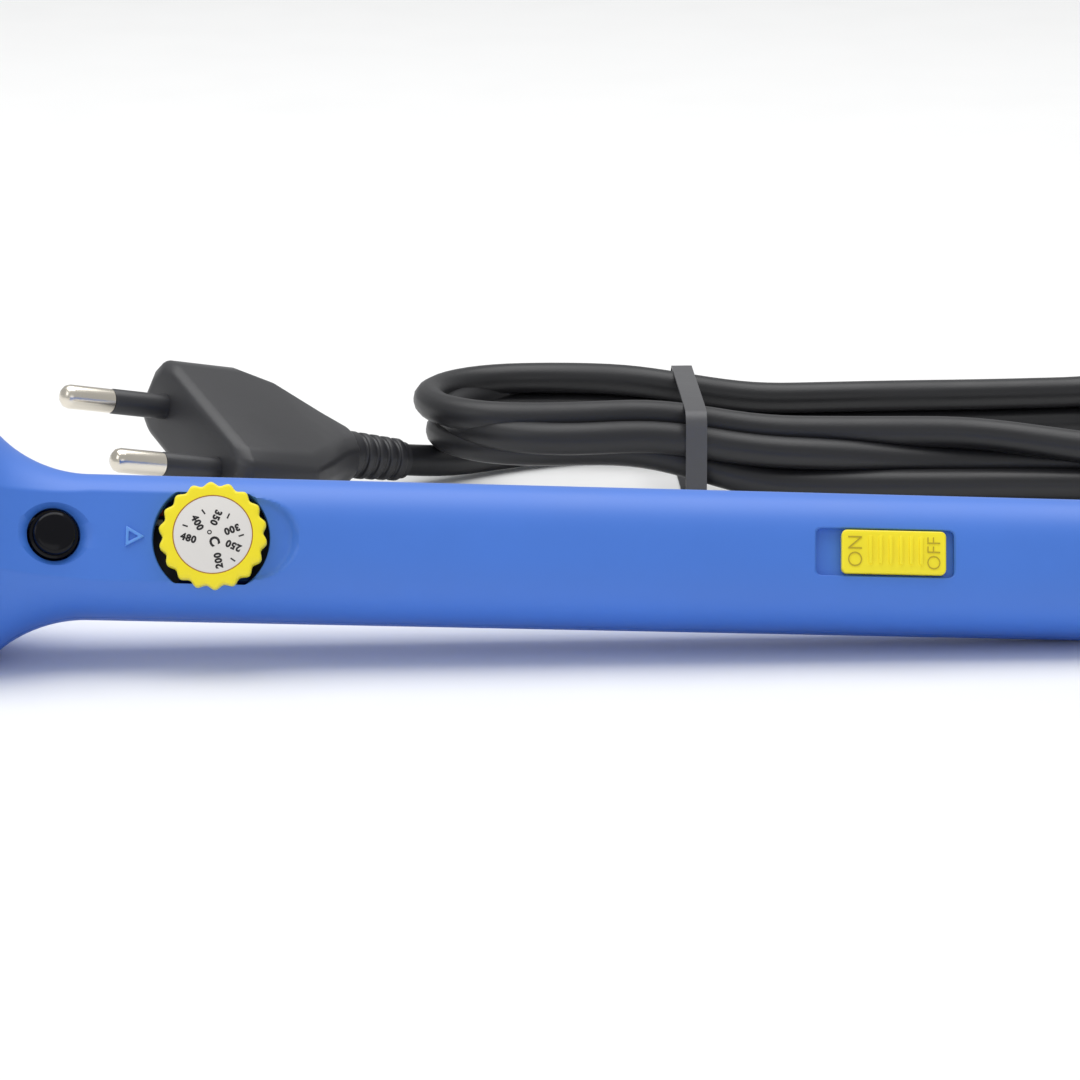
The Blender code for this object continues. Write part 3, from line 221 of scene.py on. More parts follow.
cord_curve = bpy.data.curves.new("mains_cord", "CURVE")
cord_curve.dimensions = "3D"
cord_curve.bevel_depth = CORD_DIAMETER / 2.0
cord_curve.bevel_resolution = 5
cord_curve.use_fill_caps = True
spline = cord_curve.splines.new("POLY")
spline.points.add(len(route) - 1)
for point, place in zip(spline.points, route):
    point.co = (*place, 1.0)
spline.use_smooth = True
mains_cord = bpy.data.objects.new("mains_cord", cord_curve)
bpy.context.scene.collection.objects.link(mains_cord)
cord_length = sum((b - a).length for a, b in zip(route, route[1:]))


def finish_of(name, colour, roughness, metallic=0.0):
    """A plain Principled finish."""
    material = bpy.data.materials.new(name)
    material.use_nodes = True
    shader = material.node_tree.nodes["Principled BSDF"]
    shader.inputs["Base Color"].default_value = (*colour, 1.0)
    shader.inputs["Roughness"].default_value = roughness
    shader.inputs["Metallic"].default_value = metallic
    return material


def surface_grain(material, size, depth, roughness, shade=0.0, stretch=(1.0, 1.0, 1.0), smudge=28.0 * MM):
    """Adds a fine bump of the given grain size, a roughness that wanders, and a slight shift of shade."""
    tree = material.node_tree
    nodes, links = tree.nodes, tree.links
    shader = nodes["Principled BSDF"]
    place = nodes.new("ShaderNodeTexCoord")
    squeeze = nodes.new("ShaderNodeMapping")
    squeeze.inputs["Scale"].default_value = stretch
    links.new(place.outputs["Object"], squeeze.inputs["Vector"])
    fine = nodes.new("ShaderNodeTexNoise")
    fine.inputs["Scale"].default_value = 1.0 / size
    fine.inputs["Detail"].default_value = 3.0
    links.new(squeeze.outputs["Vector"], fine.inputs["Vector"])
    bump = nodes.new("ShaderNodeBump")
    bump.inputs["Strength"].default_value = 1.0
    bump.inputs["Distance"].default_value = depth
    links.new(fine.outputs["Fac"], bump.inputs["Height"])
    links.new(bump.outputs["Normal"], shader.inputs["Normal"])
    broad = nodes.new("ShaderNodeTexNoise")
    broad.inputs["Scale"].default_value = 1.0 / smudge
    broad.inputs["Detail"].default_value = 6.0
    broad.inputs["Roughness"].default_value = 0.6
    links.new(squeeze.outputs["Vector"], broad.inputs["Vector"])
    spread = nodes.new("ShaderNodeMapRange")
    spread.inputs["From Min"].default_value = 0.3
    spread.inputs["From Max"].default_value = 0.7
    spread.inputs["To Min"].default_value = roughness[0]
    spread.inputs["To Max"].default_value = roughness[1]
    links.new(broad.outputs["Fac"], spread.inputs["Value"])
    links.new(spread.outputs["Result"], shader.inputs["Roughness"])
    if shade:
        colour = list(shader.inputs["Base Color"].default_value)[:3]
        ramp = nodes.new("ShaderNodeValToRGB")
        ramp.color_ramp.elements[0].position = 0.3
        ramp.color_ramp.elements[1].position = 0.7
        ramp.color_ramp.elements[0].color = (*[c * (1.0 - shade) for c in colour], 1.0)
        ramp.color_ramp.elements[1].color = (*[min(1.0, c * (1.0 + shade)) for c in colour], 1.0)
        links.new(broad.outputs["Fac"], ramp.inputs["Fac"])
        links.new(ramp.outputs["Color"], shader.inputs["Base Color"])
    return material


cord_jacket = surface_grain(
    finish_of("cord_jacket_pvc", (0.013, 0.013, 0.015), 0.42), 0.35 * MM, 0.02 * MM, (0.34, 0.52), 0.15
)
cord_curve.materials.append(cord_jacket)
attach(mains_cord, "handle")
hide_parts("cord_lead", "cord_hank", "cord_tail")


# ---------------------------------------------------------------------------
# Plug. A flat two-pin plug of black PVC moulded straight onto the cord, with
# a six-sided block at its face and a ribbed neck.
# ---------------------------------------------------------------------------

PLUG_WIDTH = 35.0 * MM
PLUG_THICKNESS = 13.0 * MM
PLUG_FACE = Vector(frame["record"]["mounts"][0]["pos_m"])
PLUG_OUT = Vector(frame["record"]["mounts"][0]["axis"]).normalized()
PIN_SPACING = 19.0 * MM
PIN_RADIUS = 2.0 * MM
PIN_LENGTH = 19.0 * MM
PIN_SLEEVE = 10.0 * MM


def start_new():
    """Nothing selected, so the next operator acts on the new primitive alone."""
    if bpy.context.mode != "OBJECT":
        bpy.ops.object.mode_set(mode="OBJECT")
    bpy.ops.object.select_all(action="DESELECT")


def turn_up(name, profile, sides=64):
    """A piece turned on a lathe: a ring pulled along z and scaled to each (z, radius) point.

    A profile that ends where it starts closes into a tube, any other gets flat ends."""
    start_new()
    height, radius = profile[0]
    closed = (Vector(profile[0]) - Vector(profile[-1])).length < 1e-7
    bpy.ops.mesh.primitive_circle_add(
        vertices=sides, radius=radius, location=(0, 0, height), fill_type="NOTHING" if closed else "NGON"
    )
    made = bpy.context.object
    made.name = name
    bpy.ops.object.transform_apply(location=True, rotation=True, scale=True)
    bpy.ops.object.mode_set(mode="EDIT")
    for z, r in profile[1:]:
        bpy.ops.mesh.extrude_region_move(TRANSFORM_OT_translate={"value": (0, 0, z - height)})
        bpy.ops.transform.resize(value=(r / radius, r / radius, 1.0), center_override=(0, 0, z))
        height, radius = z, r
    bpy.ops.mesh.select_all(action="SELECT")
    bpy.ops.mesh.remove_doubles(threshold=1e-7)
    bpy.ops.mesh.normals_make_consistent(inside=False)
    bpy.ops.object.mode_set(mode="OBJECT")
    return made


def place_by(made, matrix):
    """Puts the piece's place into its mesh, so that its object stays at the origin."""
    made.data.transform(matrix @ made.matrix_world)
    made.matrix_world = Matrix.Identity(4)
    return made


def soften(made, width, segments=2, angle=35.0):
    """Rounds the edges that a mould leaves rounded, and smooths the shading."""
    bevel = made.modifiers.new("edge", "BEVEL")
    bevel.width = width
    bevel.segments = segments
    bevel.limit_method = "ANGLE"
    bevel.angle_limit = math.radians(angle)
    bevel.miter_outer = "MITER_ARC"
    bpy.context.view_layer.objects.active = made
    bpy.ops.object.modifier_apply(modifier=bevel.name)
    smooth(made)
    return made


def smooth(made, angle=38.0):
    start_new()
    made.select_set(True)
    bpy.context.view_layer.objects.active = made
    bpy.ops.object.shade_smooth_by_angle(angle=math.radians(angle))
    return made


def own(made, body, material, slot, *nodes):
    """The finish of a piece, the body that it moves with and the CAD solids that it stands for."""
    made.data.materials.clear()
    made.data.materials.append(material)
    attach(made, body)
    if nodes:
        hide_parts(*nodes)
    return made


plug_across = Vector((0.458528, -0.811683, -0.361832))
plug_across = (plug_across - PLUG_OUT * plug_across.dot(PLUG_OUT)).normalized()
plug_place = Matrix.Translation(PLUG_FACE) @ Matrix(
    (plug_across, PLUG_OUT.cross(plug_across), PLUG_OUT)
).transposed().to_4x4()

# (distance behind the face, share of the width, share of the thickness)
PLUG_SECTIONS = (
    (0.0, 0.86, 0.82),
    (1.4 * MM, 0.98, 0.98),
    (14.0 * MM, 0.98, 0.98),
    (19.0 * MM, 0.80, 0.98),
    (25.5 * MM, 0.46, 0.80),
    (30.0 * MM, 0.30, 0.66),
)
start_new()
bpy.ops.mesh.primitive_plane_add(size=1.0)
plug_body = bpy.context.object
plug_body.name = "plug_moulding"
first = PLUG_SECTIONS[0]
plug_body.scale = (first[1] * PLUG_WIDTH, first[2] * PLUG_THICKNESS, 1.0)
bpy.ops.object.transform_apply(scale=True)
bpy.ops.object.mode_set(mode="EDIT")
bpy.ops.mesh.select_all(action="SELECT")
for near, far in zip(PLUG_SECTIONS, PLUG_SECTIONS[1:]):
    bpy.ops.mesh.extrude_region_move(TRANSFORM_OT_translate={"value": (0, 0, near[0] - far[0])})
    grow = (far[1] / near[1], far[2] / near[2], 1.0)
    bpy.ops.transform.resize(value=grow, center_override=(0, 0, -far[0]))
bpy.ops.mesh.select_all(action="SELECT")
bpy.ops.mesh.normals_make_consistent(inside=False)
bpy.ops.object.mode_set(mode="OBJECT")
mesh = plug_body.data
corner_weight = mesh.attributes.new("bevel_weight_edge", "FLOAT", "EDGE")
for edge in mesh.edges:
    a, b = (mesh.vertices[i].co for i in edge.vertices)
    runs_back = abs(a.z - b.z) > 0.5 * MM
    corner_weight.data[edge.index].value = 1.0 if runs_back else 0.0
corner = plug_body.modifiers.new("corner", "BEVEL")
corner.limit_method = "WEIGHT"
corner.width = 3.6 * MM
corner.segments = 2
corner.use_clamp_overlap = True
bpy.context.view_layer.objects.active = plug_body
bpy.ops.object.modifier_apply(modifier="corner")
soften(plug_body, 0.7 * MM, 3, 18.0)

# The neck: rings that thin towards the cord
NECK_RINGS = 5
NECK_START = -30.6 * MM
NECK_PITCH = 2.2 * MM
NECK_GROOVE = 0.55 * MM
neck_profile = [(-28.0 * MM, 4.1 * MM)]
for ring in range(NECK_RINGS):
    z = NECK_START - ring * NECK_PITCH
    outer = (3.9 - 0.1 * ring) * MM
    neck_profile += [(z, outer), (z - 1.2 * MM, outer), (z - 1.35 * MM, outer - NECK_GROOVE)]
    neck_profile.append((z - 2.05 * MM, outer - NECK_GROOVE))
neck_profile.append((-41.9 * MM, 3.1 * MM))
plug_neck = soften(turn_up("plug_neck", neck_profile, 48), 0.18 * MM, 2)

plug_pvc = surface_grain(
    finish_of("plug_pvc", (0.028, 0.028, 0.031), 0.4), 0.25 * MM, 0.012 * MM, (0.30, 0.46), 0.10
)
plug_nickel = surface_grain(
    finish_of("plug_pin_nickel", (0.74, 0.69, 0.60), 0.2, 1.0), 0.5 * MM, 0.004 * MM, (0.16, 0.30), 0.06
)
own(place_by(plug_body, plug_place), "handle", plug_pvc, "plug_rubber", "plug_body")
own(place_by(plug_neck, plug_place), "handle", plug_pvc, "plug_rubber")
plug_pieces = [plug_body, plug_neck]
for number, side in ((1, -1), (2, 1)):
    shift = plug_place @ Matrix.Translation((side * PIN_SPACING / 2.0, 0.0, 0.0))
    tip_profile = [
        (PIN_SLEEVE + 0.2 * MM, PIN_RADIUS * 0.96),
        (PIN_LENGTH - 1.4 * MM, PIN_RADIUS * 0.96),
        (PIN_LENGTH - 0.7 * MM, PIN_RADIUS * 0.86),
        (PIN_LENGTH - 0.2 * MM, PIN_RADIUS * 0.6),
        (PIN_LENGTH, PIN_RADIUS * 0.25),
    ]
    pin = smooth(turn_up(f"plug_pin_metal_{number}", tip_profile, 40), 50.0)
    own(place_by(pin, shift), "handle", plug_nickel, "nickel_plate", f"plug_pin_{number}")
    sleeve_profile = [
        (-1.0 * MM, PIN_RADIUS),
        (PIN_SLEEVE - 0.3 * MM, PIN_RADIUS),
        (PIN_SLEEVE, PIN_RADIUS * 0.9),
    ]
    sleeve = smooth(turn_up(f"pin_insulation_{number}", sleeve_profile, 40))
    own(place_by(sleeve, shift), "handle", plug_pvc, "plug_rubber", f"pin_sleeve_{number}")
    plug_pieces += [pin, sleeve]


# ---------------------------------------------------------------------------
# Cable tie. A thin flat band of dark grey plastic, pulled round all of the
# hank's strands near its left end.
# ---------------------------------------------------------------------------

TIE_BAND = 3.4 * MM
TIE_WALL = 0.35 * MM
TIE_HALF_SPAN = HANK_SLOTS[1][0] - HANK_PINCH + CORD_DIAMETER / 2.0 + TIE_WALL + 0.1 * MM
TIE_HEIGHT = 15.6 * MM
start_new()
bpy.ops.mesh.primitive_cube_add(size=1.0, location=(TIE_X, HANK_MIDDLE_Y, TIE_HEIGHT / 2.0 + 0.02 * MM))
cord_tie = bpy.context.object
cord_tie.name = "hank_tie"
cord_tie.scale = (TIE_BAND, 2.0 * TIE_HALF_SPAN, TIE_HEIGHT)
bpy.ops.object.transform_apply(location=True, scale=True)
bpy.context.tool_settings.mesh_select_mode = (False, False, True)
bpy.ops.object.mode_set(mode="EDIT")
bpy.ops.mesh.select_all(action="DESELECT")
bpy.ops.object.mode_set(mode="OBJECT")
for face in cord_tie.data.polygons:
    face.select = abs(face.normal.x) > 0.9
bpy.ops.object.mode_set(mode="EDIT")
bpy.ops.mesh.delete(type="FACE")
bpy.ops.object.mode_set(mode="OBJECT")
bpy.context.tool_settings.mesh_select_mode = (True, False, False)
rounding = cord_tie.modifiers.new("round", "BEVEL")
rounding.width = 3.0 * MM
rounding.segments = 6
rounding.limit_method = "ANGLE"
wall = cord_tie.modifiers.new("wall", "SOLIDIFY")
wall.thickness = TIE_WALL
wall.offset = -1.0
bpy.ops.object.modifier_apply(modifier="round")
bpy.ops.object.modifier_apply(modifier="wall")
smooth(cord_tie, 40.0)
tie_grey = surface_grain(
    finish_of("tie_grey", (0.075, 0.075, 0.08), 0.4), 0.5 * MM, 0.02 * MM, (0.3, 0.5), 0.1
)
own(cord_tie, "handle", tie_grey, "tie_plastic", "cord_tie")


# ---------------------------------------------------------------------------
# Strain relief. A black rubber boot with rings along it, moulded round the
# cord; a collar inside the handle keeps it from being pulled out.
# ---------------------------------------------------------------------------

BOOT_COLLAR_X = 163.3 * MM
HANDLE_REAR_X = 168.0 * MM
BOOT_RADIUS = 4.6 * MM
BOOT_TIP_RADIUS = 3.5 * MM
BOOT_COLLAR_REAR_X = 165.4 * MM
BOOT_COLLAR_RADIUS = 6.1 * MM
BOOT_RINGS = 7
BOOT_RINGED = 27.0 * MM
RING_GROOVE = 0.9 * MM
boot_profile = [
    (BOOT_COLLAR_X, CORD_DIAMETER / 2.0),
    (BOOT_COLLAR_X, BOOT_COLLAR_RADIUS),
    (BOOT_COLLAR_REAR_X, BOOT_COLLAR_RADIUS),
    (BOOT_COLLAR_REAR_X, BOOT_RADIUS),
    (HANDLE_REAR_X + 1.2 * MM, BOOT_RADIUS),
]
ring_pitch = BOOT_RINGED / BOOT_RINGS
for ring in range(BOOT_RINGS):
    x = HANDLE_REAR_X + 1.6 * MM + ring * ring_pitch
    outer = BOOT_RADIUS + (BOOT_TIP_RADIUS - BOOT_RADIUS) * (ring + 0.6) / BOOT_RINGS
    boot_profile += [
        (x, outer - RING_GROOVE),
        (x + ring_pitch * 0.36, outer - RING_GROOVE),
        (x + ring_pitch * 0.48, outer),
        (x + ring_pitch * 0.92, outer),
    ]
boot_profile += [
    (BOOT_END_X - 0.4 * MM, BOOT_TIP_RADIUS - 0.15 * MM),
    (BOOT_END_X, BOOT_TIP_RADIUS - 0.55 * MM),
]
along_x = Matrix.Rotation(math.radians(90.0), 4, "Y")
strain_relief = soften(turn_up("cord_boot", boot_profile, 64), 0.22 * MM, 3)
boot_rubber = surface_grain(
    finish_of("boot_rubber", (0.018, 0.018, 0.02), 0.55), 0.3 * MM, 0.02 * MM, (0.46, 0.62), 0.12
)
own(place_by(strain_relief, iron @ along_x), "handle", boot_rubber, "boot_rubber", "strain_relief")


# ---------------------------------------------------------------------------
# Studio. A plain white table under one wide soft lamp, with two weaker ones at
# the side and the front and a pale room that fills the shadows.
# ---------------------------------------------------------------------------

start_new()
bpy.ops.mesh.primitive_plane_add(size=6.0, location=(0.0, 1.2, 0.0))
table_top = bpy.context.object
table_top.name = "table_top"
bpy.ops.object.transform_apply(location=True)
table_white = surface_grain(
    finish_of("table_white", (0.93, 0.93, 0.925), 0.6), 1.2 * MM, 0.004 * MM, (0.55, 0.65)
)
table_top.data.materials.append(table_white)

room = bpy.data.worlds.new("pale_room")
room.use_nodes = True
room.node_tree.nodes["Background"].inputs["Color"].default_value = (0.98, 0.99, 1.0, 1.0)
room.node_tree.nodes["Background"].inputs["Strength"].default_value = 0.50
bpy.context.scene.world = room
bpy.context.scene.view_settings.view_transform = "Standard"

# (name, place, aimed at, width, depth, power)
LAMPS = (
    ("overhead_lamp", (-0.05, 0.24, 1.15), (0.0, 0.02, 0.0), 1.4, 1.1, 12.5),
    ("side_lamp", (-1.1, -0.55, 0.75), (0.0, 0.0, 0.0), 0.6, 0.6, 1.6),
    ("front_lamp", (0.15, -1.3, 0.35), (0.0, 0.0, 0.0), 1.0, 0.5, 1.0),
)
for lamp_name, place, aim, width, depth, power in LAMPS:
    lamp_data = bpy.data.lights.new(lamp_name, "AREA")
    lamp_data.shape = "RECTANGLE"
    lamp_data.size = width
    lamp_data.size_y = depth
    lamp_data.energy = power
    lamp = bpy.data.objects.new(lamp_name, lamp_data)
    bpy.context.scene.collection.objects.link(lamp)
    turned = (Vector(aim) - Vector(place)).to_track_quat("-Z", "Y").to_matrix().to_4x4()
    lamp.matrix_world = Matrix.Translation(place) @ turned


# ---------------------------------------------------------------------------
# Handle shells. Two injection-moulded halves of glossy blue nylon, parted
# along the middle and screwed together from below. The nose flares to a bell
# that keeps the fingers off the hot barrel; a flat panel runs along the top.
# ---------------------------------------------------------------------------

GRIP_RADIUS = 10.0 * MM
REAR_RADIUS = 9.7 * MM
REAR_ROUND = 1.6 * MM
BELL_RADIUS = 16.0 * MM
BELL_ROUND = 2.6 * MM
FLARE_END = 23.2 * MM
FLARE_ARC = 19.0 * MM
SQUARENESS = 2.7
SHELL_WALL = 2.2 * MM
NOSE_WALL = 2.4 * MM
PARTING_GAP = 0.3 * MM
PANEL_DEPTH = 1.2 * MM
PANEL_END = 52.3 * MM
PANEL_END_RADIUS = 6.5 * MM
PANEL_EDGE_RADIUS = 0.35 * MM
SHELL_SIDES = 160
PANEL_COLUMN = 24
SCREW_PLACES = (26.6 * MM, 117.0 * MM, 146.0 * MM)
SCREW_SEAT = -6.4 * MM
NIPPLE_HOLE = 6.5 * MM
BOOT_HOLE = 4.9 * MM
LENS_X = 18.6 * MM
LENS_HOLE = 3.75 * MM
LENS_CHAMFER = 0.7 * MM
DIAL_OPENING = 8.1 * MM
DIAL_OPENING_HALF = 6.45 * MM
DIAL_OPENING_AHEAD = 0.3 * MM
OPENING_LIP = (8.62 * MM, 8.95 * MM)
OPENING_LIP_GROWTH = 1.035
SWITCH_POCKET = (124.3 * MM, 143.6 * MM)
POCKET_HALF_WIDTH = 3.35 * MM
POCKET_FLOOR = 8.49 * MM
POCKET_CORNER = 0.8 * MM
POCKET_LIP = (9.42 * MM, 0.22 * MM)
LEVER_SLOT = (130.9 * MM, 136.3 * MM)


def body_radius(x):
    """Half the handle's height at x: rounded bell, flare, grip, rounded rear edge."""
    if x < BELL_ROUND:
        inward = 1.0 - x / BELL_ROUND
        return BELL_RADIUS - BELL_ROUND * (1.0 - math.sqrt(max(0.0, 1.0 - inward**2)))
    if x < FLARE_END:
        run = min(FLARE_END - x, FLARE_ARC)
        arc = GRIP_RADIUS + FLARE_ARC - math.sqrt(FLARE_ARC**2 - run**2)
        return min(BELL_RADIUS, arc)
    share = (x - FLARE_END) / (HANDLE_REAR_X - FLARE_END)
    radius = GRIP_RADIUS + (REAR_RADIUS - GRIP_RADIUS) * share
    into = x - (HANDLE_REAR_X - REAR_ROUND)
    if into > 0.0:
        radius -= REAR_ROUND - math.sqrt(max(0.0, REAR_ROUND**2 - into**2))
    return radius


def section_power(x):
    """The section is round at the bell and squarer along the grip."""
    share = min(1.0, max(0.0, (x - FLARE_END / 2.0) / (FLARE_END / 2.0)))
    return 2.0 + (SQUARENESS - 2.0) * share


def panel_height(x, y):
    """The top panel lies below the crest, and rises to it at its rounded rear end."""
    from_end = math.hypot(max(0.0, x - (PANEL_END - PANEL_END_RADIUS)), y)
    rise = eased(from_end, PANEL_END_RADIUS - 1.3 * MM, PANEL_END_RADIUS + 0.3 * MM)
    if x < PANEL_END - PANEL_END_RADIUS:
        rise = 0.0
    return body_radius(x) - PANEL_DEPTH * (1.0 - rise)


def panel_half_width(x):
    """Half the flat panel's width at x, where its plane meets the rounded section."""
    radius, power = body_radius(x), section_power(x)
    return radius * (1 - ((radius - PANEL_DEPTH) / radius) ** power) ** (1 / power)


def shell_point(x, angle, inset):
    """The handle's skin at x, or its cavity's, with a column of points along each edge of the panel."""
    radius, power = body_radius(x) - inset, section_power(x)
    upper = 0.0 < angle < math.pi
    if upper:
        edge = math.asin(((radius - PANEL_DEPTH) / radius) ** (power / 2.0))
        column = angle / math.pi * SHELL_SIDES / 2.0
        last = SHELL_SIDES / 2.0
        if column <= PANEL_COLUMN:
            angle = edge * column / PANEL_COLUMN
        elif column >= last - PANEL_COLUMN:
            angle = math.pi - edge * (last - column) / PANEL_COLUMN
        else:
            share = (column - PANEL_COLUMN) / (last - 2 * PANEL_COLUMN)
            angle = edge + (math.pi - 2 * edge) * share
    cos, sin = math.cos(angle), math.sin(angle)
    y = math.copysign(abs(cos) ** (2.0 / power), cos) * radius
    z = math.copysign(abs(sin) ** (2.0 / power), sin) * radius
    if upper:
        z = min(z, panel_height(x, y) - inset)
    return Vector((x, y, z))


def spread(start, end, step):
    count = max(1, round((end - start) / step))
    return [start + (end - start) * k / count for k in range(count)]


def carve(target, cutter, operation="DIFFERENCE"):
    """One Boolean cut or join, after which the tool piece is thrown away."""
    step = target.modifiers.new("cut", "BOOLEAN")
    step.object = cutter
    step.operation = operation
    step.solver = "EXACT"
    start_new()
    bpy.context.view_layer.objects.active = target
    bpy.ops.object.modifier_apply(modifier=step.name)
    bpy.data.objects.remove(cutter, do_unlink=True)


def joined(pieces, name):
    """Several meshes as one object."""
    start_new()
    for piece in pieces:
        piece.select_set(True)
    bpy.context.view_layer.objects.active = pieces[0]
    if len(pieces) > 1:
        bpy.ops.object.join()
    pieces[0].name = name
    return pieces[0]


def copy_of(piece, name):
    twin = bpy.data.objects.new(name, piece.data.copy())
    bpy.context.scene.collection.objects.link(twin)
    return twin


def post(x, y, radius, low, high, sides=40):
    """An upright round boss or drill at x, y."""
    made = turn_up("post", [(low, radius), (high, radius)], sides)
    return place_by(made, Matrix.Translation((x, y, 0.0)))


def bore(radius, start, end, sides=64):
    """A round drill along the handle's axis."""
    return place_by(turn_up("bore", [(start, radius), (end, radius)], sides), along_x)


def slab(x_range, half_width, z_low, z_high, corner, flare=None):
    """An upright block with rounded corners in plan, optionally opened out above a height."""
    start_new()
    middle = (x_range[0] + x_range[1]) / 2.0
    bpy.ops.mesh.primitive_plane_add(size=1.0, location=(middle, 0.0, z_low))
    made = bpy.context.object
    made.scale = (x_range[1] - x_range[0], 2.0 * half_width, 1.0)
    bpy.ops.object.transform_apply(location=True, scale=True)
    bpy.ops.object.mode_set(mode="EDIT")
    bpy.ops.mesh.select_all(action="SELECT")
    if corner:
        bpy.ops.mesh.bevel(offset=corner, segments=5, affect="VERTICES")
        bpy.ops.mesh.select_all(action="SELECT")
    heights = [(z_high, 0.0)]
    if flare:
        at, out = flare
        heights = [(at, 0.0), (at + out, out), (z_high, out)]
    level, grown = z_low, 0.0
    for z, out in heights:
        bpy.ops.mesh.extrude_region_move(TRANSFORM_OT_translate={"value": (0, 0, z - level)})
        if out != grown:
            half_length = (x_range[1] - x_range[0]) / 2.0
            longer = (half_length + out) / (half_length + grown)
            wider = (half_width + out) / (half_width + grown)
            bpy.ops.transform.resize(value=(longer, wider, 1.0), center_override=(middle, 0.0, z))
        level, grown = z, out
    bpy.ops.mesh.select_all(action="SELECT")
    bpy.ops.mesh.normals_make_consistent(inside=False)
    bpy.ops.object.mode_set(mode="OBJECT")
    return made


def handle_solid(name, stations, inset):
    """A closed solid in the handle's shape, or its cavity's: a round bar, then pulled to shape."""
    made = turn_up(name, [(x, GRIP_RADIUS) for x in stations], SHELL_SIDES)
    turn_step = 2.0 * math.pi / SHELL_SIDES
    for vertex in made.data.vertices:
        angle = round(math.atan2(vertex.co.y, vertex.co.x) / turn_step) * turn_step
        vertex.co = shell_point(vertex.co.z, angle % (2.0 * math.pi), inset)
    return made


middle_stations = spread(FLARE_END, 42.0 * MM, 1.6 * MM) + spread(42.0 * MM, 56.0 * MM, 0.45 * MM)
middle_stations += spread(56.0 * MM, HANDLE_REAR_X - SHELL_WALL, 5.0 * MM)
stations = [BELL_ROUND * (1.0 - math.cos(math.radians(a))) for a in range(0, 90, 15)]
stations += spread(BELL_ROUND, FLARE_END, 0.8 * MM) + middle_stations + [HANDLE_REAR_X - SHELL_WALL]
stations += [
    HANDLE_REAR_X - REAR_ROUND + REAR_ROUND * math.sin(math.radians(a)) for a in range(0, 91, 15)
]
whole = handle_solid("handle_body", stations, 0.0)
inner_stations = spread(NOSE_WALL, FLARE_END, 0.8 * MM) + middle_stations + [HANDLE_REAR_X - SHELL_WALL]
cavity = handle_solid("handle_cavity", inner_stations, SHELL_WALL)

# A small radius runs along both edges of the panel
edge_weight = whole.data.attributes.new("bevel_weight_edge", "FLOAT", "EDGE")
for edge in whole.data.edges:
    a, b = (whole.data.vertices[i].co for i in edge.vertices)
    if abs(a.x - b.x) < 0.01 * MM or max(a.x, b.x) > 47.0 * MM or min(a.z, b.z) < 0.0:
        continue
    on_panel = all(abs(c.z - (body_radius(c.x) - PANEL_DEPTH)) < 0.002 * MM for c in (a, b))
    if on_panel and all(abs(abs(c.y) - panel_half_width(c.x)) < 0.01 * MM for c in (a, b)):
        edge_weight.data[edge.index].value = 1.0
ease_edge = whole.modifiers.new("panel_edge", "BEVEL")
ease_edge.limit_method = "WEIGHT"
ease_edge.width = PANEL_EDGE_RADIUS
ease_edge.segments = 3
start_new()
bpy.context.view_layer.objects.active = whole
bpy.ops.object.modifier_apply(modifier="panel_edge")


def half_shell(name, upper):
    """One moulded half: cut at the parting line and hollowed."""
    half = copy_of(whole, name)
    start_new()
    half.select_set(True)
    bpy.context.view_layer.objects.active = half
    bpy.ops.object.mode_set(mode="EDIT")
    bpy.ops.mesh.select_all(action="SELECT")
    side = 1.0 if upper else -1.0
    bpy.ops.mesh.bisect(
        plane_co=(0.0, 0.0, side * PARTING_GAP / 2.0),
        plane_no=(0.0, 0.0, side),
        clear_inner=True,
        use_fill=True,
    )
    bpy.ops.object.mode_set(mode="OBJECT")
    carve(half, copy_of(cavity, "cavity_core"))
    return half


top_shell = half_shell("handle_top_moulding", True)
bottom_shell = half_shell("handle_bottom_moulding", False)
bpy.data.objects.remove(whole, do_unlink=True)
bpy.data.objects.remove(cavity, do_unlink=True)

# Screw pillars, the tray under the switch pocket, and the bosses that meet the pillars
pillars = [post(x, 0.0, 2.5 * MM, 0.45 * MM, 8.4 * MM) for x in SCREW_PLACES]
pocket_tray = slab((122.0 * MM, 143.9 * MM), 5.2 * MM, 6.9 * MM, 9.0 * MM, 0.0)
carve(top_shell, joined(pillars, "screw_pillars"), "UNION")
carve(top_shell, pocket_tray, "UNION")
bosses = [post(x, 0.0, 3.3 * MM, -8.6 * MM, -0.45 * MM) for x in SCREW_PLACES]
carve(bottom_shell, joined(bosses, "screw_bosses"), "UNION")

# The window's hole follows the slope of the flare
flare_slope = math.atan2(body_radius(LENS_X - 1.0 * MM) - body_radius(LENS_X + 1.0 * MM), 2.0 * MM)
lens_place = (
    Matrix.Translation((LENS_X, 0.0, body_radius(LENS_X) - PANEL_DEPTH))
    @ Matrix.Rotation(flare_slope, 4, "Y")
)
lens_drill = turn_up("lens_drill", [
    (-4.5 * MM, LENS_HOLE), (-LENS_CHAMFER, LENS_HOLE), (2.0 * MM, LENS_HOLE + LENS_CHAMFER + 2.0 * MM),
], 72)
place_by(lens_drill, lens_place)

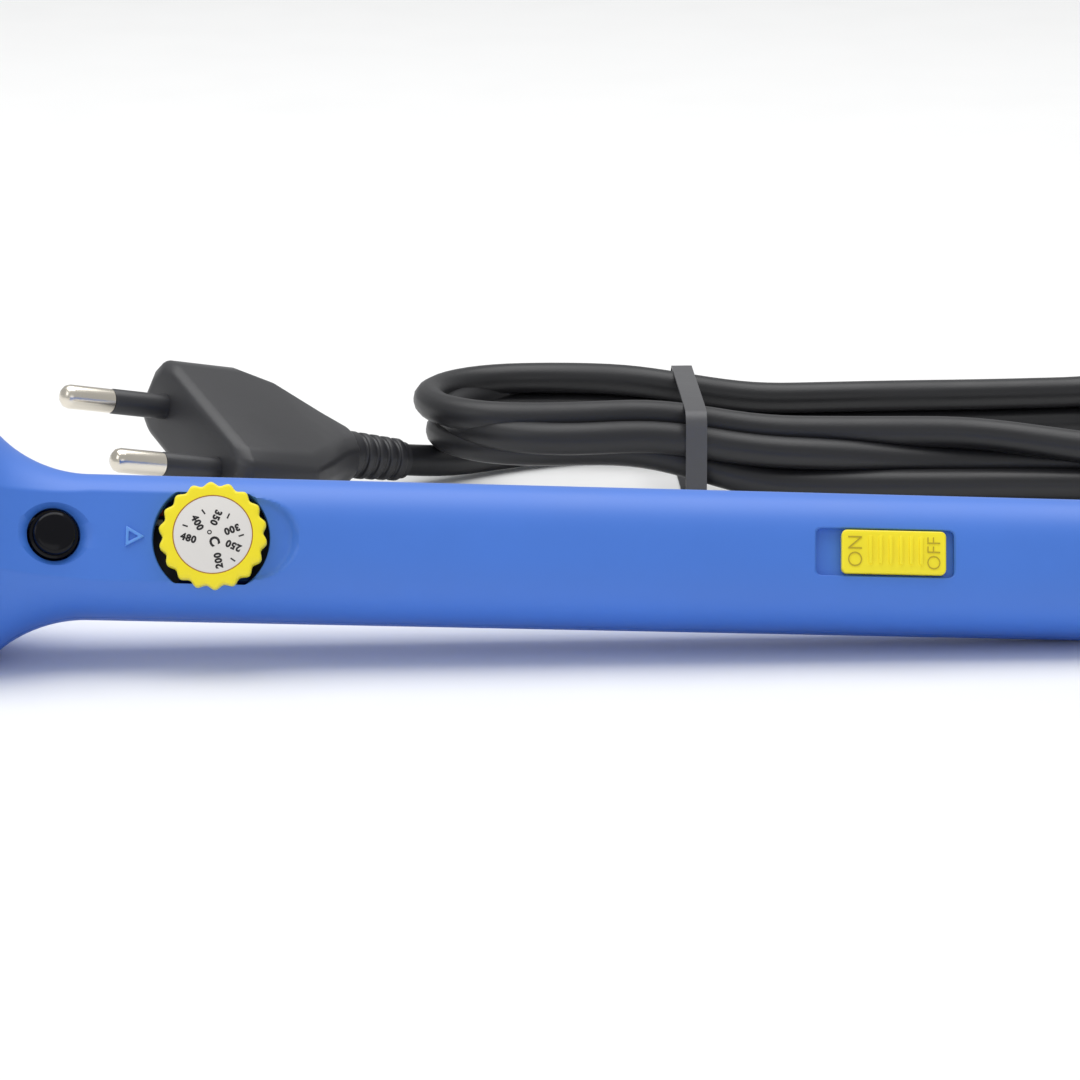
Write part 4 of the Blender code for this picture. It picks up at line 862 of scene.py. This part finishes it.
# The dial's opening: round at both ends, flat along its sides, opened out a little at the skin
dial_cutter = post(DIAL_X - DIAL_OPENING_AHEAD, 0.0, DIAL_OPENING, 5.0 * MM, 12.0 * MM, 120)
for vertex in dial_cutter.data.vertices:
    vertex.co.y = min(DIAL_OPENING_HALF, max(-DIAL_OPENING_HALF, vertex.co.y))
start_new()
dial_cutter.select_set(True)
bpy.context.view_layer.objects.active = dial_cutter
bpy.ops.object.mode_set(mode="EDIT")
bpy.ops.mesh.select_all(action="SELECT")
bpy.ops.mesh.remove_doubles(threshold=1e-7)
for height in OPENING_LIP:
    bpy.ops.mesh.select_all(action="SELECT")
    bpy.ops.mesh.bisect(plane_co=(0.0, 0.0, height), plane_no=(0.0, 0.0, 1.0))
bpy.ops.object.mode_set(mode="OBJECT")
for vertex in dial_cutter.data.vertices:
    if vertex.co.z > sum(OPENING_LIP) / 2.0:
        vertex.co.x = DIAL_X + (vertex.co.x - DIAL_X) * OPENING_LIP_GROWTH
        vertex.co.y *= OPENING_LIP_GROWTH
pocket = slab(SWITCH_POCKET, POCKET_HALF_WIDTH, POCKET_FLOOR, 12.0 * MM, POCKET_CORNER, POCKET_LIP)
openings = [
    lens_drill, dial_cutter, pocket,
    bore(NIPPLE_HOLE, -1.0 * MM, 3.0 * MM), bore(BOOT_HOLE, 164.0 * MM, 170.0 * MM),
]
carve(top_shell, joined(openings, "openings"))
lever_slot = slab(LEVER_SLOT, 1.1 * MM, 6.0 * MM, POCKET_FLOOR + 0.6 * MM, 0.0)
pilot_holes = [post(x, 0.0, 0.9 * MM, -1.0 * MM, 6.2 * MM, 24) for x in SCREW_PLACES]
carve(top_shell, joined([lever_slot, *pilot_holes], "inner_holes"))
screw_wells = [post(x, 0.0, 2.3 * MM, -14.0 * MM, SCREW_SEAT, 40) for x in SCREW_PLACES]
ends = [bore(NIPPLE_HOLE, -1.0 * MM, 3.0 * MM), bore(BOOT_HOLE, 164.0 * MM, 170.0 * MM)]
carve(bottom_shell, joined([*screw_wells, *ends], "wells"))
screw_holes = [post(x, 0.0, 1.25 * MM, -9.0 * MM, 1.0 * MM, 24) for x in SCREW_PLACES]
carve(bottom_shell, joined(screw_holes, "screw_holes"))

handle_blue = surface_grain(
    finish_of("handle_blue_nylon", (0.046, 0.185, 0.70), 0.46), 0.22 * MM, 0.005 * MM, (0.42, 0.52), 0.04
)
handle_shader = handle_blue.node_tree.nodes["Principled BSDF"]
handle_shader.inputs["Coat Weight"].default_value = 0.4
handle_shader.inputs["Coat Roughness"].default_value = 0.55
own(place_by(smooth(top_shell, 32.0), iron), "handle", handle_blue, "handle_plastic", "handle_top_shell")
own(
    place_by(smooth(bottom_shell, 32.0), iron), "handle", handle_blue, "handle_plastic", "handle_bottom_shell"
)

# The pointer that the dial is read against, a thin raised triangle
POINTER = ((28.4 * MM, -1.45 * MM), (31.0 * MM, 0.0), (28.4 * MM, 1.45 * MM))
POINTER_LINE = 0.42 * MM
POINTER_HEIGHT = 0.38 * MM
POINTER_SUNK = 0.05 * MM
start_new()
bpy.ops.mesh.primitive_circle_add(vertices=3, radius=1.0 * MM, fill_type="NGON")
pointer = bpy.context.object
pointer.name = "dial_pointer"
pointer_base = body_radius(30.0 * MM) - PANEL_DEPTH - POINTER_SUNK
for vertex, (x, y) in zip(pointer.data.vertices, POINTER):
    vertex.co = (x, y, pointer_base)
bpy.ops.object.mode_set(mode="EDIT")
bpy.ops.mesh.select_all(action="SELECT")
bpy.ops.mesh.inset(thickness=POINTER_LINE)
bpy.ops.mesh.delete(type="FACE")
bpy.ops.mesh.select_all(action="SELECT")
bpy.ops.mesh.extrude_region_move(TRANSFORM_OT_translate={"value": (0, 0, POINTER_HEIGHT)})
bpy.ops.mesh.select_all(action="SELECT")
bpy.ops.mesh.normals_make_consistent(inside=False)
bpy.ops.object.mode_set(mode="OBJECT")
soften(pointer, 0.14 * MM, 3)
# Painted highlight: the pointer is the handle's own nylon, given a lighter blue that stands in for the light
# its raised edges catch.
pointer_highlight_blue = surface_grain(
    finish_of("pointer_painted_highlight", (0.12, 0.33, 0.86), 0.3), 0.22 * MM, 0.004 * MM, (0.26, 0.36), 0.04
)
own(place_by(pointer, iron), "handle", pointer_highlight_blue, "handle_plastic")


# ---------------------------------------------------------------------------
# Indicator. A smoked plastic window pressed into a chamfered hole, over a
# small round lamp that shines while the iron heats.
# ---------------------------------------------------------------------------

LENS_PROFILE = (
    (-2.9, 3.3), (-0.62, 3.45), (-0.5, 3.4), (-0.42, 3.05), (0.35, 2.98), (0.62, 2.88),
    (0.8, 2.66), (0.88, 2.3), (0.93, 1.2), (0.94, 0.2),
)
lens = turn_up("indicator_window", [(z * MM, r * MM) for z, r in LENS_PROFILE], 72)
smoked = surface_grain(
    finish_of("smoked_window", (0.003, 0.003, 0.005), 0.12), 0.6 * MM, 0.002 * MM, (0.10, 0.18), 0.2
)
smoked_shader = smoked.node_tree.nodes["Principled BSDF"]
smoked_shader.inputs["Coat Weight"].default_value = 0.12
smoked_shader.inputs["Coat Roughness"].default_value = 0.08
smoked_shader.inputs["Specular IOR Level"].default_value = 0.12
own(place_by(smooth(lens, 30.0), iron @ lens_place), "handle", smoked, "smoked_window", "indicator_lens")


# ---------------------------------------------------------------------------
# Temperature dial. A yellow moulded wheel with finger lobes, pressed on the
# control's shaft, and a printed white disc glued into its top.
# ---------------------------------------------------------------------------

DIAL_LOBES = 18
LOBE_DEPTH = 0.56 * MM
DIAL_RADIUS = 7.5 * MM
dial_profile = [
    (6.1, 3.3), (6.3, 3.6), (9.05, 3.6), (9.1, 7.0), (9.32, 7.38), (9.6, 7.5), (11.05, 7.5),
    (11.3, 7.42), (11.44, 7.25), (11.5, 7.0), (11.5, 5.56), (10.95, 5.52),
]
wheel = turn_up("dial_wheel", [(z * MM, r * MM) for z, r in dial_profile], DIAL_LOBES * 10)
for vertex in wheel.data.vertices:
    reach = math.hypot(vertex.co.x, vertex.co.y)
    if reach > 6.9 * MM:
        turn = math.atan2(vertex.co.y, vertex.co.x) + math.radians(6.0)
        slimmer = 1.0 - LOBE_DEPTH / DIAL_RADIUS * (0.5 - 0.5 * math.cos(DIAL_LOBES * turn))
        vertex.co.x *= slimmer
        vertex.co.y *= slimmer
dial_place = iron @ Matrix.Translation((DIAL_X, 0.0, 0.0))
dial_yellow = surface_grain(
    finish_of("control_yellow", (0.98, 0.82, 0.016), 0.4), 0.3 * MM, 0.006 * MM, (0.34, 0.48), 0.04
)
own(place_by(smooth(wheel, 34.0), dial_place), "dial", dial_yellow, "yellow_plastic", "dial_knob")

disc_profile = [(10.98, 5.40), (11.40, 5.44), (11.47, 5.40), (11.5, 5.30), (11.5, 0.3)]
disc = turn_up("dial_disc", [(z * MM, r * MM) for z, r in disc_profile], 120)
disc_white = surface_grain(
    finish_of("dial_disc_white", (0.80, 0.775, 0.745), 0.42), 0.2 * MM, 0.003 * MM, (0.36, 0.5), 0.02
)
own(place_by(smooth(disc, 34.0), dial_place), "dial", disc_white, "dial_print", "dial_face")

# Painted shade: a thin orange-brown ring laid in the gap between the white disc and the wheel stands in for
# the shade in that gap.
start_new()
bpy.ops.mesh.primitive_torus_add(
    location=(0, 0, 11.44 * MM), major_radius=5.49 * MM, minor_radius=0.08 * MM,
    major_segments=120, minor_segments=8,
)
gap_shade_ring = bpy.context.object
gap_shade_ring.name = "dial_gap_shade_torus"
bpy.ops.object.transform_apply(location=True)
gap_shade_material = surface_grain(
    finish_of("painted_gap_shade_finish", (0.42, 0.16, 0.02), 0.5), 0.2 * MM, 0.003 * MM, (0.45, 0.6), 0.12
)
own(place_by(smooth(gap_shade_ring), dial_place), "dial", gap_shade_material, "yellow_plastic")


def lettering(words, size, weight, across_mm, up_mm, turn, lift, thickness, spacing=1.0):
    """Flat raised characters, centred at a point and read along a direction."""
    start_new()
    bpy.ops.object.text_add()
    made = bpy.context.object
    made.data.body = words
    made.data.size = size * MM
    made.data.offset = weight * MM
    made.data.space_character = spacing
    made.data.extrude = thickness / 2.0
    made.data.resolution_u = 4
    made.data.align_x = "CENTER"
    made.data.align_y = "CENTER"
    bpy.ops.object.convert(target="MESH")
    spot = Matrix.Translation((across_mm * MM, up_mm * MM, lift))
    return place_by(bpy.context.object, spot @ Matrix.Rotation(math.radians(turn), 4, "Z"))


# (characters, size, weight, across, up, direction of reading)
DIAL_NUMBERS = (
    ("480", 1.34, 0.07, -3.34, -0.62, -15.0),
    ("400", 1.34, 0.07, -2.18, 1.58, -61.0),
    ("350", 1.34, 0.07, 0.36, 2.38, -112.0),
    ("300", 1.34, 0.07, 2.63, 0.80, -158.0),
    ("250", 1.34, 0.07, 2.92, -1.50, 157.0),
    ("200", 1.34, 0.07, 0.94, -3.66, 101.0),
    ("C", 1.85, 0.08, 0.19, -0.96, -63.0),
)
# (across, up, direction) of each short line between the numbers
DIAL_LINES = (
    (-3.83, 1.13, -16.7),
    (-1.37, 3.14, -53.0),
    (2.08, 2.63, -114.0),
    (3.94, -0.06, -160.7),
    (2.89, -3.50, -34.0),
)
LINE_SIZE = (0.76 * MM, 0.21 * MM)
PRINT_TOP = 11.512 * MM
PRINT_THICKNESS = 0.02 * MM
NUMBER_SPACING = 1.12
marks = [lettering(*row, PRINT_TOP, PRINT_THICKNESS, NUMBER_SPACING) for row in DIAL_NUMBERS]
for x, y, turn in DIAL_LINES:
    start_new()
    bpy.ops.mesh.primitive_cube_add(size=1.0)
    line = bpy.context.object
    line.scale = (*LINE_SIZE, PRINT_THICKNESS)
    bpy.ops.object.transform_apply(scale=True)
    spot = Matrix.Translation((x * MM, y * MM, PRINT_TOP)) @ Matrix.Rotation(math.radians(turn), 4, "Z")
    marks.append(place_by(line, spot))
start_new()
bpy.ops.mesh.primitive_torus_add(
    location=(-0.45 * MM, 0.30 * MM, PRINT_TOP), major_radius=0.25 * MM, minor_radius=0.08 * MM,
    major_segments=32, minor_segments=8,
)
degree_ring = bpy.context.object
degree_ring.scale = (1.0, 1.0, 0.13)
bpy.ops.object.transform_apply(location=False, scale=True)
marks.append(place_by(degree_ring, Matrix.Identity(4)))
dial_marks = joined(marks, "dial_marks")
print_black = surface_grain(
    finish_of("print_black", (0.012, 0.010, 0.012), 0.55), 0.15 * MM, 0.002 * MM, (0.5, 0.65), 0.2
)
own(place_by(dial_marks, dial_place), "dial", print_black, "dial_print")


# ---------------------------------------------------------------------------
# Switch. A yellow sliding cap with finger ribs and raised words, clipped on
# the lever of a small slide switch below the pocket's floor.
# ---------------------------------------------------------------------------

CAP_RANGE = (127.8 * MM, 142.4 * MM)
CAP_HALF_WIDTH = 3.05 * MM
CAP_BOTTOM = 8.79 * MM
CAP_TOP = 10.37 * MM
RIB_PITCH = 1.42 * MM
RIB_MIDDLE = Vector((135.34, 0.22, 0.0)) * MM
RIB_COUNT = 6
RIB_HALF = (0.24 * MM, 2.0 * MM)
RIB_HEIGHT = 0.34 * MM
WORD_LIFT = 0.02 * MM
WORD_THICKNESS = 0.16 * MM
cap = slab(CAP_RANGE, CAP_HALF_WIDTH, CAP_BOTTOM, CAP_TOP, 0.75 * MM)
cap.name = "switch_slider"
soften(cap, 0.28 * MM, 3, 60.0)
details = [cap]
for number in range(RIB_COUNT):
    x = RIB_MIDDLE.x + (number - (RIB_COUNT - 1) / 2.0) * RIB_PITCH
    rib_ends = (x - RIB_HALF[0], x + RIB_HALF[0])
    rib = slab(rib_ends, RIB_HALF[1], CAP_TOP - 0.1 * MM, CAP_TOP + RIB_HEIGHT, 0.0)
    rib.data.transform(Matrix.Translation((0.0, RIB_MIDDLE.y, 0.0)))
    details.append(soften(rib, 0.1 * MM, 2, 60.0))
slider = smooth(joined(details, "switch_slider"), 34.0)
own(place_by(slider, iron), "switch", dial_yellow, "yellow_plastic", "switch_cap")
switch_words = joined([
    lettering("ON", 2.95, -0.05, 129.75, 0.0, 90.0, CAP_TOP + WORD_LIFT, WORD_THICKNESS),
    lettering("OFF", 2.75, -0.05, 140.75, -0.15, 90.0, CAP_TOP + WORD_LIFT, WORD_THICKNESS),
], "switch_words")
# Painted shade: the raised words are the cap's own yellow plastic, given a darker yellow that stands in for
# their shade.
word_shade_yellow = surface_grain(
    finish_of("word_shade_yellow", (0.50, 0.38, 0.012), 0.45), 0.3 * MM, 0.006 * MM, (0.40, 0.52), 0.04
)
own(place_by(switch_words, iron), "switch", word_shade_yellow, "yellow_plastic")


# ---------------------------------------------------------------------------
# Nose fittings. A turned nickel-plated nipple is trapped between the shells,
# and the knurled nut on its thread holds the barrel's flange against it.
# ---------------------------------------------------------------------------

NUT_KNURLS = 24
NUT_KNURL_DEPTH = 0.055
THREAD_RIDGES = 6
THREAD_PITCH = 1.5
thread = [(-7.6, 4.0), (-7.6, 5.5)]
for ridge in range(THREAD_RIDGES):
    x = -7.3 + THREAD_PITCH * ridge
    thread += [(x, 5.5), (x + 0.45, 6.15), (x + 0.8, 6.15), (x + 1.3, 5.5)]
thread += [(2.7, 6.15), (2.7, 9.5), (4.5, 9.5), (4.5, 4.0), (-7.6, 4.0)]
nipple = turn_up("nose_nipple", [(x * MM, r * MM) for x, r in thread], 72)
nut_profile = [
    (-10.7, 4.4), (-10.7, 7.3), (-10.45, 7.75), (-10.1, 8.05), (-9.6, 8.45), (-1.5, 8.45),
    (-0.9, 8.2), (-0.3, 8.0), (-0.3, 6.55), (-9.1, 6.55), (-9.1, 4.4), (-10.7, 4.4),
]
nut = turn_up("knurled_nut", [(x * MM, r * MM) for x, r in nut_profile], NUT_KNURLS * 10)
for vertex in nut.data.vertices:
    reach = math.hypot(vertex.co.x, vertex.co.y)
    if reach > 8.3 * MM:
        turn = math.atan2(vertex.co.y, vertex.co.x)
        slimmer = 1.0 - NUT_KNURL_DEPTH * (0.5 - 0.5 * math.cos(NUT_KNURLS * turn)) ** 2
        vertex.co.x *= slimmer
        vertex.co.y *= slimmer
nickel = surface_grain(
    finish_of("nickel_plate", (0.66, 0.64, 0.60), 0.25, 1.0), 0.12 * MM, 0.004 * MM, (0.20, 0.34), 0.05,
    (1.0, 0.12, 0.12),
)
own(place_by(smooth(nipple, 30.0), iron @ along_x), "handle", nickel, "nickel_plate", "threaded_nipple")
own(place_by(smooth(nut, 30.0), iron @ along_x), "nut", nickel, "nickel_plate", "retaining_nut")


# ---------------------------------------------------------------------------
# Barrel and bit. The barrel is a drawn stainless tube with a flange for the
# nut, a rolled lip that keeps the bit in and vent holes near the handle. The
# bit is copper, plated with iron, with a tinned conical point.
# ---------------------------------------------------------------------------

VENT_TURNS = (0.0, 60.0, 120.0)
VENT_PLACES = (-19.7 * MM, -25.7 * MM)
VENT_RADIUS = 0.9 * MM
barrel_profile = [
    (-61.9, 2.8), (-61.9, 3.6), (-61.75, 3.87), (-61.4, 4.0), (-8.7, 4.0), (-8.7, 5.8),
    (-7.9, 5.8), (-7.9, 3.6), (-61.1, 3.6), (-61.1, 2.8), (-61.9, 2.8),
]
barrel = place_by(turn_up("heater_barrel", [(x * MM, r * MM) for x, r in barrel_profile], 96), along_x)
for turn in VENT_TURNS:
    drills = []
    for x in VENT_PLACES:
        drill = turn_up("vent_drill", [(-6.0 * MM, VENT_RADIUS), (6.0 * MM, VENT_RADIUS)], 28)
        turned = Matrix.Rotation(math.radians(turn), 4, "X")
        drills.append(place_by(drill, Matrix.Translation((x, 0.0, 0.0)) @ turned))
    carve(barrel, joined(drills, "vent_drills"))
brushed_steel = surface_grain(
    finish_of("barrel_stainless", (0.58, 0.57, 0.55), 0.3, 1.0), 0.10 * MM, 0.004 * MM, (0.24, 0.40), 0.05,
    (1.0, 0.06, 0.06),
)
own(place_by(smooth(barrel, 30.0), iron), "barrel", brushed_steel, "barrel_steel", "barrel_tube")

bit_profile = [
    (-85.9, 0.12), (-85.82, 0.3), (-85.6, 0.44), (-70.9, 2.46), (-70.6, 2.5), (-60.8, 2.5), (-60.8, 3.1),
    (-60.6, 3.25), (-37.0, 3.25), (-36.8, 3.1), (-36.8, 2.25), (-58.8, 2.25),
]
bit = turn_up("soldering_bit", [(x * MM, r * MM) for x, r in bit_profile], 72)
bit_plating = surface_grain(
    finish_of("bit_plating", (0.50, 0.49, 0.48), 0.3, 1.0), 0.14 * MM, 0.005 * MM, (0.22, 0.42), 0.08,
    (1.0, 0.10, 0.10),
)
own(place_by(smooth(bit, 30.0), iron @ along_x), "barrel", bit_plating, "bit_plate", "soldering_tip")


# ---------------------------------------------------------------------------
# Inside the handle. The heater's ceramic rod and bushing, the control board
# with its parts, the slide switch, wires and the clamp that grips the cord.
# They keep the shapes of the frame and get their own finishes.
# ---------------------------------------------------------------------------

def paint(material, *names):
    for name in names:
        for cell in bpy.data.objects[name].material_slots:
            cell.material = material


# (finish, colour, roughness, grain size in mm, grain depth in mm, range of roughness, shade, parts)
INNER_FINISHES = (
    ("heater_ceramic", (0.74, 0.72, 0.68), 0.6, 0.15, 0.01, (0.5, 0.7), 0.05,
     ("ceramic_heater", "heater_bushing")),
    ("board_laminate", (0.008, 0.014, 0.05), 0.35, 0.5, 0.01, (0.28, 0.42), 0.25,
     ("circuit_board",)),
    ("part_epoxy_black", (0.02, 0.02, 0.022), 0.5, 0.2, 0.012, (0.42, 0.58), 0.15,
     ("control_chip", "triac", "rectifier_diode", "smoothing_capacitor", "switch_body", "switch_lever")),
    ("film_part_yellow", (0.75, 0.50, 0.06), 0.4, 0.2, 0.006, (0.34, 0.46), 0.06,
     ("film_capacitor",)),
    ("control_case_blue", (0.03, 0.12, 0.42), 0.45, 0.2, 0.008, (0.38, 0.52), 0.08,
     ("potentiometer",)),
    ("resistor_tan", (0.52, 0.36, 0.20), 0.5, 0.2, 0.008, (0.42, 0.56), 0.08,
     ("dropper_resistor",)),
    ("lamp_red", (0.55, 0.02, 0.015), 0.2, 0.3, 0.003, (0.15, 0.25), 0.08,
     ("indicator_light",)),
    ("lead_glass_sleeve", (0.70, 0.69, 0.65), 0.6, 0.12, 0.02, (0.5, 0.7), 0.06,
     ("heater_lead_1", "heater_lead_2")),
    ("wire_red", (0.50, 0.03, 0.02), 0.42, 0.2, 0.006, (0.36, 0.5), 0.06,
     ("sensor_lead_1", "sensor_lead_2", "switched_wire")),
    ("wire_brown", (0.16, 0.07, 0.03), 0.42, 0.2, 0.006, (0.36, 0.5), 0.06,
     ("live_wire",)),
    ("wire_blue", (0.03, 0.10, 0.40), 0.42, 0.2, 0.006, (0.36, 0.5), 0.06,
     ("neutral_wire",)),
)
for finish, colour, roughness, grain, depth, rough_range, shade, parts in INNER_FINISHES:
    material = finish_of(finish, colour, roughness)
    paint(surface_grain(material, grain * MM, depth * MM, rough_range, shade), *parts)

fuse_glass = surface_grain(
    finish_of("fuse_glass", (0.80, 0.84, 0.85), 0.08), 0.5 * MM, 0.002 * MM, (0.05, 0.12), 0.02
)
fuse_glass.node_tree.nodes["Principled BSDF"].inputs["Transmission Weight"].default_value = 0.7
paint(fuse_glass, "glass_fuse")
screw_steel = surface_grain(
    finish_of("screw_zinc", (0.55, 0.55, 0.56), 0.32, 1.0), 0.15 * MM, 0.004 * MM, (0.26, 0.4), 0.06
)
paint(screw_steel, "shell_screw_1", "shell_screw_2", "shell_screw_3")
paint(screw_steel, "clamp_screw_1", "clamp_screw_2", "cord_clamp")
paint(cord_jacket, "cord_inner_end")
paint(nickel, "dial_shaft")
